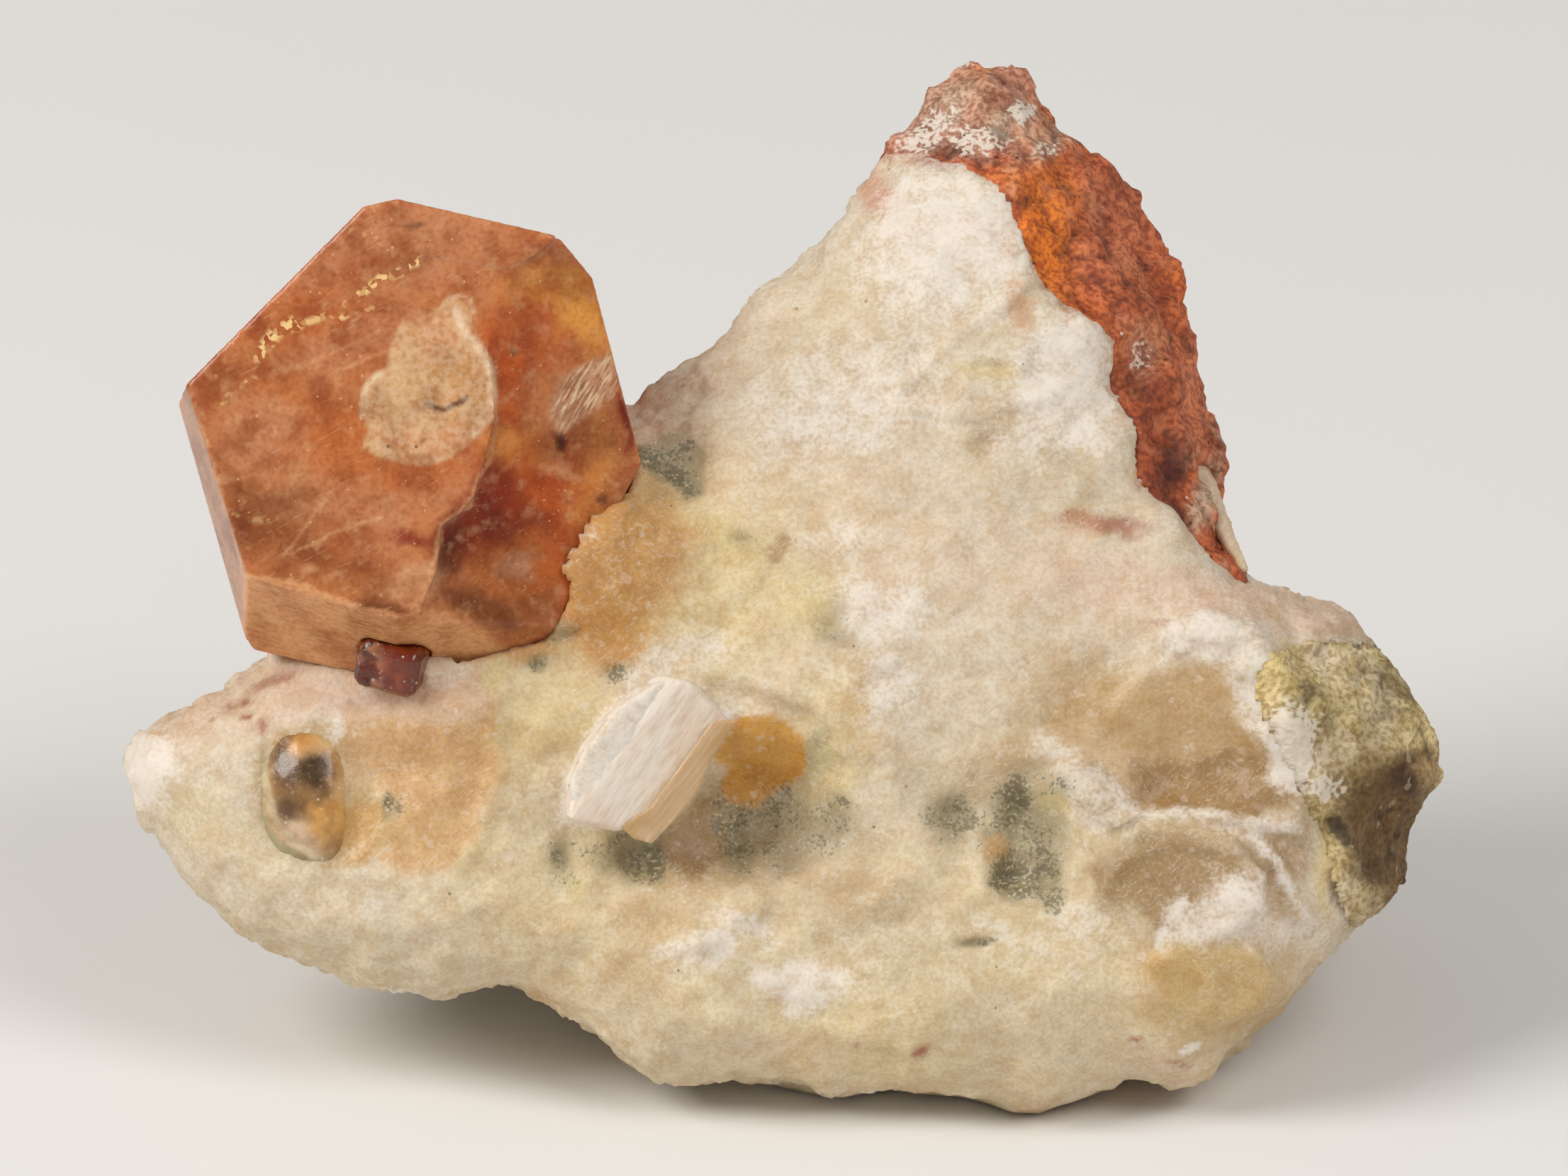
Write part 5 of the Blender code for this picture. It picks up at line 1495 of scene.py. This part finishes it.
def quartz_finish():
    """Milky sugar quartz: clear grains among white needles, with dark and rusty specks."""
    material, surface, wire, place, tint = stained_finish("milky_quartz")
    surface.subsurface_method = "BURLEY"
    gloss = attribute(wire, "gloss", "Fac")
    fine = clouds(place, 0.3, 3.0)
    veins = clouds(place, 1.6, 4.0)
    curled = place + (veins.other("Color") * 1.6)
    colour = shade(tint, veins, 0.36, 0.6, 244, 236, 226)
    colour = multiply(colour, blend(rise(fine, 0.36, 0.6), paint(236, 232, 224), paint(247, 250, 252)))
    straws = needles(curled, 35.0, 1.1, 0.16, 0.58, 0.74) + needles(curled, -50.0, 0.9, 0.14, 0.6, 0.76)
    milk = attribute(wire, "milk", "Fac")
    colour = cover(colour, rise(milk + (veins + fine - 1.0) * 0.9, 0.2, 0.9) * 0.8, "milk")
    colour = cover(colour, straws * (0.32 - gloss * 0.16), "milk")
    grains = cells(place, 0.42)
    colour = cover(colour, rise(grains.other("Color"), 0.86, 0.9) * 0.22, "milk")
    grime = attribute(wire, "grime", "Fac")
    dirt = clouds(place, 0.24, 2.0)
    colour = cover(colour, rise(grime + (fine - 0.5) * 0.8, 0.1, 0.7) * 0.6, "grey_green")
    dark = rise(grime * 0.42 + (dirt + veins - 1.0) * 1.1, 0.2, 0.4) * rise(grime, 0.03, 0.2)
    colour = cover(colour, dark * 0.62, "charcoal")
    colour = cover(colour, rise(grime + (fine - dirt) * 3.0, 1.15, 1.35) * 0.5, "straw")
    colour = cover(colour, specks(place, 2.4, 0.14, 0.72, 4.0) * 0.75, "dark_smoke")
    colour = cover(colour, specks(place, 3.0, 0.18, 0.74, 9.0) * 0.6, "rust_fleck")
    normal = facet_normal(wire, grains, 0.26 - gloss * 0.22)
    relief = fine * 0.7 + straws * 0.3
    dress(wire, surface, colour, 0.5 + fine * 0.2 - gloss * 0.34, bump(relief, 0.4, 0.14, normal))
    set_values(surface, IOR=1.54, Subsurface_Weight=0.3, Subsurface_Scale=0.0010)
    set_values(surface, Subsurface_Radius=(1.0, 0.66, 0.42))
    return material


def rust_finish():
    """Iron crust: earthy and matt, with dark pores and a few bright grains."""
    material, surface, wire, place, tint = stained_finish("iron_rust")
    fine = clouds(place, 0.4, 4.0)
    broad = clouds(place, 1.8, 4.0)
    colour = shade(tint, fine, 0.36, 0.62, 190, 168, 156)
    colour = shade(colour, broad, 0.3, 0.56, 214, 196, 184)
    colour = cover(colour, rise(broad, 0.56, 0.7) * 0.4, "rosy_rust")
    milk = attribute(wire, "milk", "Fac")
    colour = cover(colour, rise(milk + (fine - 0.5) * 2.4, 0.5, 0.7) * 0.8, "white")
    colour = cover(colour, granular(attribute(wire, "grime", "Fac"), fine, 1.4) * 0.7, "dark_smoke")
    colour = cover(colour, specks(place, 1.4, 0.2, 0.6, 3.0) * 0.8, "maroon")
    colour = cover(colour, specks(place, 2.2, 0.15, 0.7, 7.0) * 0.8, "white")
    normal = facet_normal(wire, cells(place, 0.6), 0.3)
    dress(wire, surface, colour, 0.6 + fine * 0.25, bump(fine * 0.6 + broad * 0.4, 0.8, 0.3, normal))
    set_values(surface, IOR=1.5)
    return material


def host_finish():
    """Weathered host rock: mottled grey, green and yellow, with pale quartz grains."""
    material, surface, wire, place, tint = stained_finish("weathered_host_rock")
    fine = clouds(place, 0.4, 4.0)
    broad = clouds(place, 2.2, 4.0)
    grains = cells(place, 0.5)
    colour = shade(tint, fine, 0.36, 0.6, 204, 192, 168)
    colour = shade(colour, broad, 0.34, 0.56, 220, 212, 184)
    milk = attribute(wire, "milk", "Fac")
    colour = cover(colour, rise(milk + (fine - 0.5) * 1.6, 0.3, 0.6) * 0.7, "white")
    colour = cover(colour, rise(grains.other("Color"), 0.86, 0.9) * 0.3, "straw")
    grime = attribute(wire, "grime", "Fac")
    colour = cover(colour, granular(grime, fine, 1.2) * 0.5, "coal")
    normal = facet_normal(wire, grains, 0.34)
    dress(wire, surface, colour, 0.58 + fine * 0.25, bump(fine * 0.6 + broad * 0.4, 0.8, 0.3, normal))
    set_values(surface, IOR=1.52)
    return material


def crystal_finish():
    """Hazy orange quartz: flat polished faces over iron dust, cracks and golden flecks drawn as painted
    glints.
    """
    material, surface, wire, place, tint = stained_finish("hazy_orange_quartz")
    striped = attribute(wire, "striped", "Fac")
    flake = attribute(wire, "flake", "Fac")
    fan = attribute(wire, "fan", "Fac")
    glitter = attribute(wire, "glitter", "Fac")
    haze = clouds(place, 2.6, 4.0)
    dust = clouds(place, 0.35, 3.0)
    colour = shade(tint, haze, 0.32, 0.62, 214, 190, 170)
    mist = clouds(place, 1.1, 4.0)
    colour = cover(colour, rise(mist, 0.5, 0.72) * (1.0 - flake) * 0.3, "clay_pale")
    colour = shade(colour, dust, 0.3, 0.6, 236, 222, 212)
    grain = rise(clouds(place, 0.55, 3.0), 0.42, 0.62)
    colour = cover(colour, flake * grain * 0.25, "flake_white")
    ribs = clouds(stretched(place, -8.0, 2.4, 0.24), 1.0, 4.0)
    colour = cover(colour, striped * rise(ribs, 0.52, 0.7) * 0.5, "clay_pale")
    colour = cover(colour, striped * rise(ribs, 0.42, 0.3) * 0.3, "clay_brown")
    spines = clouds(stretched(place, 55.0, 2.4, 0.22), 1.0, 2.0)
    colour = cover(colour, fan * rise(spines, 0.5, 0.66) * 0.7, "flake_white")
    colour = cover(colour, fan * rise(spines, 0.46, 0.34) * 0.6, "clay_brown")
    # Painted glints: bright golden cells along the glitter lines
    flecks = rise(cells(place, 0.34).other("Color"), 0.52, 0.6)
    colour = cover(colour, glitter * flecks, "glint_gold")
    motes = specks(place, 0.7, 0.1, 0.66, 5.0) + specks(place, 1.9, 0.16, 0.7, 8.0)
    colour = cover(colour, motes * 0.75, "clay_pale")
    scratches = needles(place, 28.0, 1.8, 0.14, 0.66, 0.76)
    colour = cover(colour, scratches * 0.3, "clay_pale")
    colour = cover(colour, specks(place, 3.0, 0.16, 0.72, 2.0) * 0.7, "dark_brown")
    relief = dust * 0.25 + ribs * striped * 0.3 + spines * fan + flecks * glitter * 0.6
    dress(wire, surface, colour, 0.16 + dust * 0.14 + flake * 0.2 + fan * 0.2, bump(relief, 0.35, 0.14))
    set_values(surface, IOR=1.54, Transmission_Weight=0.12, Specular_IOR_Level=0.36)
    set_values(surface, Subsurface_Weight=0.55, Subsurface_Scale=0.0014)
    set_values(surface, Subsurface_Radius=(1.0, 0.42, 0.2))
    return material


def clear_finish(name, roughness, depth):
    """Polished smaller crystals in the colours laid on them."""
    material, surface, wire, place, tint = stained_finish(name)
    haze = clouds(place, 1.2, 4.0)
    dust = clouds(place, 0.3, 3.0)
    colour = shade(tint, haze, 0.3, 0.62, 214, 204, 192)
    motes = specks(place, 0.8, 0.12, 0.6, 5.0)
    colour = cover(colour, motes * 0.6 + rise(dust, 0.62, 0.72) * 0.25, "white")
    dress(wire, surface, colour, roughness + dust * 0.15, bump(dust + haze * 0.5, 0.25, 0.12))
    set_values(surface, IOR=1.54, Subsurface_Weight=0.5, Subsurface_Scale=depth, Coat_Weight=0.2)
    return material


def blade_finish():
    """Fibrous white plate: silky streaks along its length."""
    material, surface, wire, place, tint = stained_finish("fibrous_white_plate")
    turn = math.degrees(BLADE_TURN)
    fibres = clouds(stretched(place, turn, 2.6, 0.22), 1.0, 3.0)
    fine = clouds(place, 0.4, 3.0)
    colour = shade(tint, fibres, 0.34, 0.6, 244, 238, 230)
    colour = cover(colour, rise(fibres, 0.58, 0.7) * 0.2, "white")
    colour = cover(colour, specks(place, 2.2, 0.14, 0.7, 4.0) * 0.7, "dark_smoke")
    dress(wire, surface, colour, 0.34 + fine * 0.2, bump(fibres + fine * 0.6, 0.2, 0.14))
    set_values(surface, IOR=1.54, Subsurface_Weight=0.4, Subsurface_Scale=0.001)
    set_values(surface, Subsurface_Radius=(1.0, 0.7, 0.5))
    return material


def finish_piece(piece, material, slot, *nodes):
    piece.data.materials.clear()
    piece.data.materials.append(material)
    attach(piece, "root")
    if nodes:
        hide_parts(*nodes)


# The floor, the lights and the camera


def add_floor():
    deselect()
    bpy.ops.mesh.primitive_plane_add(size=12.0)
    floor = bpy.context.object
    floor.name = "pale_floor"
    material, surface, wire = new_finish("pale_floor")
    place = wire.add("ShaderNodeTexCoord", None, None, "Object")
    tone = clouds(place, 0.05, 3.0)
    wire.plug(surface, "Base Color", blend(tone, (0.80, 0.79, 0.77), (0.82, 0.81, 0.79)))
    set_values(surface, Roughness=0.9)
    floor.data.materials.append(material)


def add_softbox(name, place, power, tone):
    light = bpy.data.lights.new(name, "AREA")
    light.shape, light.size, light.energy, light.color = "DISK", SOFTBOX_SIZE, power, tone
    box = bpy.data.objects.new(name, light)
    bpy.context.scene.collection.objects.link(box)
    box.location = place
    box.rotation_euler = (STONE_MIDDLE - Vector(place)).to_track_quat("-Z", "Y").to_euler()


def add_studio():
    add_floor()
    for name, values in SOFTBOXES.items():
        add_softbox(name, *values)
    world = bpy.data.worlds.new("studio")
    bpy.context.scene.world = world
    world.use_nodes = True
    room = world.node_tree.nodes["Background"]
    room.inputs["Color"].default_value = ROOM_TONE
    room.inputs["Strength"].default_value = ROOM_LIGHT


def add_camera():
    """Looks square at the broad face."""
    camera = bpy.data.cameras.new("camera")
    camera.sensor_width = SENSOR_WIDTH
    camera.lens = SENSOR_WIDTH * CAMERA_AWAY / PICTURE_WIDTH
    camera.clip_start, camera.clip_end = 0.1, 20.0
    holder = bpy.data.objects.new("camera", camera)
    bpy.context.scene.collection.objects.link(holder)
    holder.location = (TO_WORLD @ Vector((*PICTURE_MIDDLE, CAMERA_AWAY))) * MM
    holder.rotation_euler = (math.pi / 2 - LEAN, 0.0, 0.0)
    bpy.context.scene.camera = holder


def main():
    bpy.context.scene.view_settings.view_transform = "Standard"
    stone, rind, host = make_stone()
    finish_piece(stone, quartz_finish(), "matrix", "matrix", *GRAINS)
    finish_piece(rind, rust_finish(), "iron_rind", "iron_rind")
    finish_piece(host, host_finish(), "host_rock", "host_rock")
    finish_piece(make_crystal(), crystal_finish(), "main_crystal", "main_crystal")
    lens_finish = clear_finish("smoky_quartz", 0.2, 0.0012)
    finish_piece(make_round_crystal(), lens_finish, "round_smoky_crystal", "round_smoky_crystal")
    blade, silky = make_blade(), blade_finish()
    finish_piece(blade, silky, "white_blade", "white_blade")
    finish_piece(make_lip(blade), silky, "white_blade")
    red_finish = clear_finish("oxblood_quartz", 0.14, 0.0006)
    finish_piece(make_red_crystal(), red_finish, "red_crystal", "red_crystal")
    finish_piece(make_splinter(), silky, "pale_splinter", "pale_splinter")
    add_studio()
    add_camera()


main()
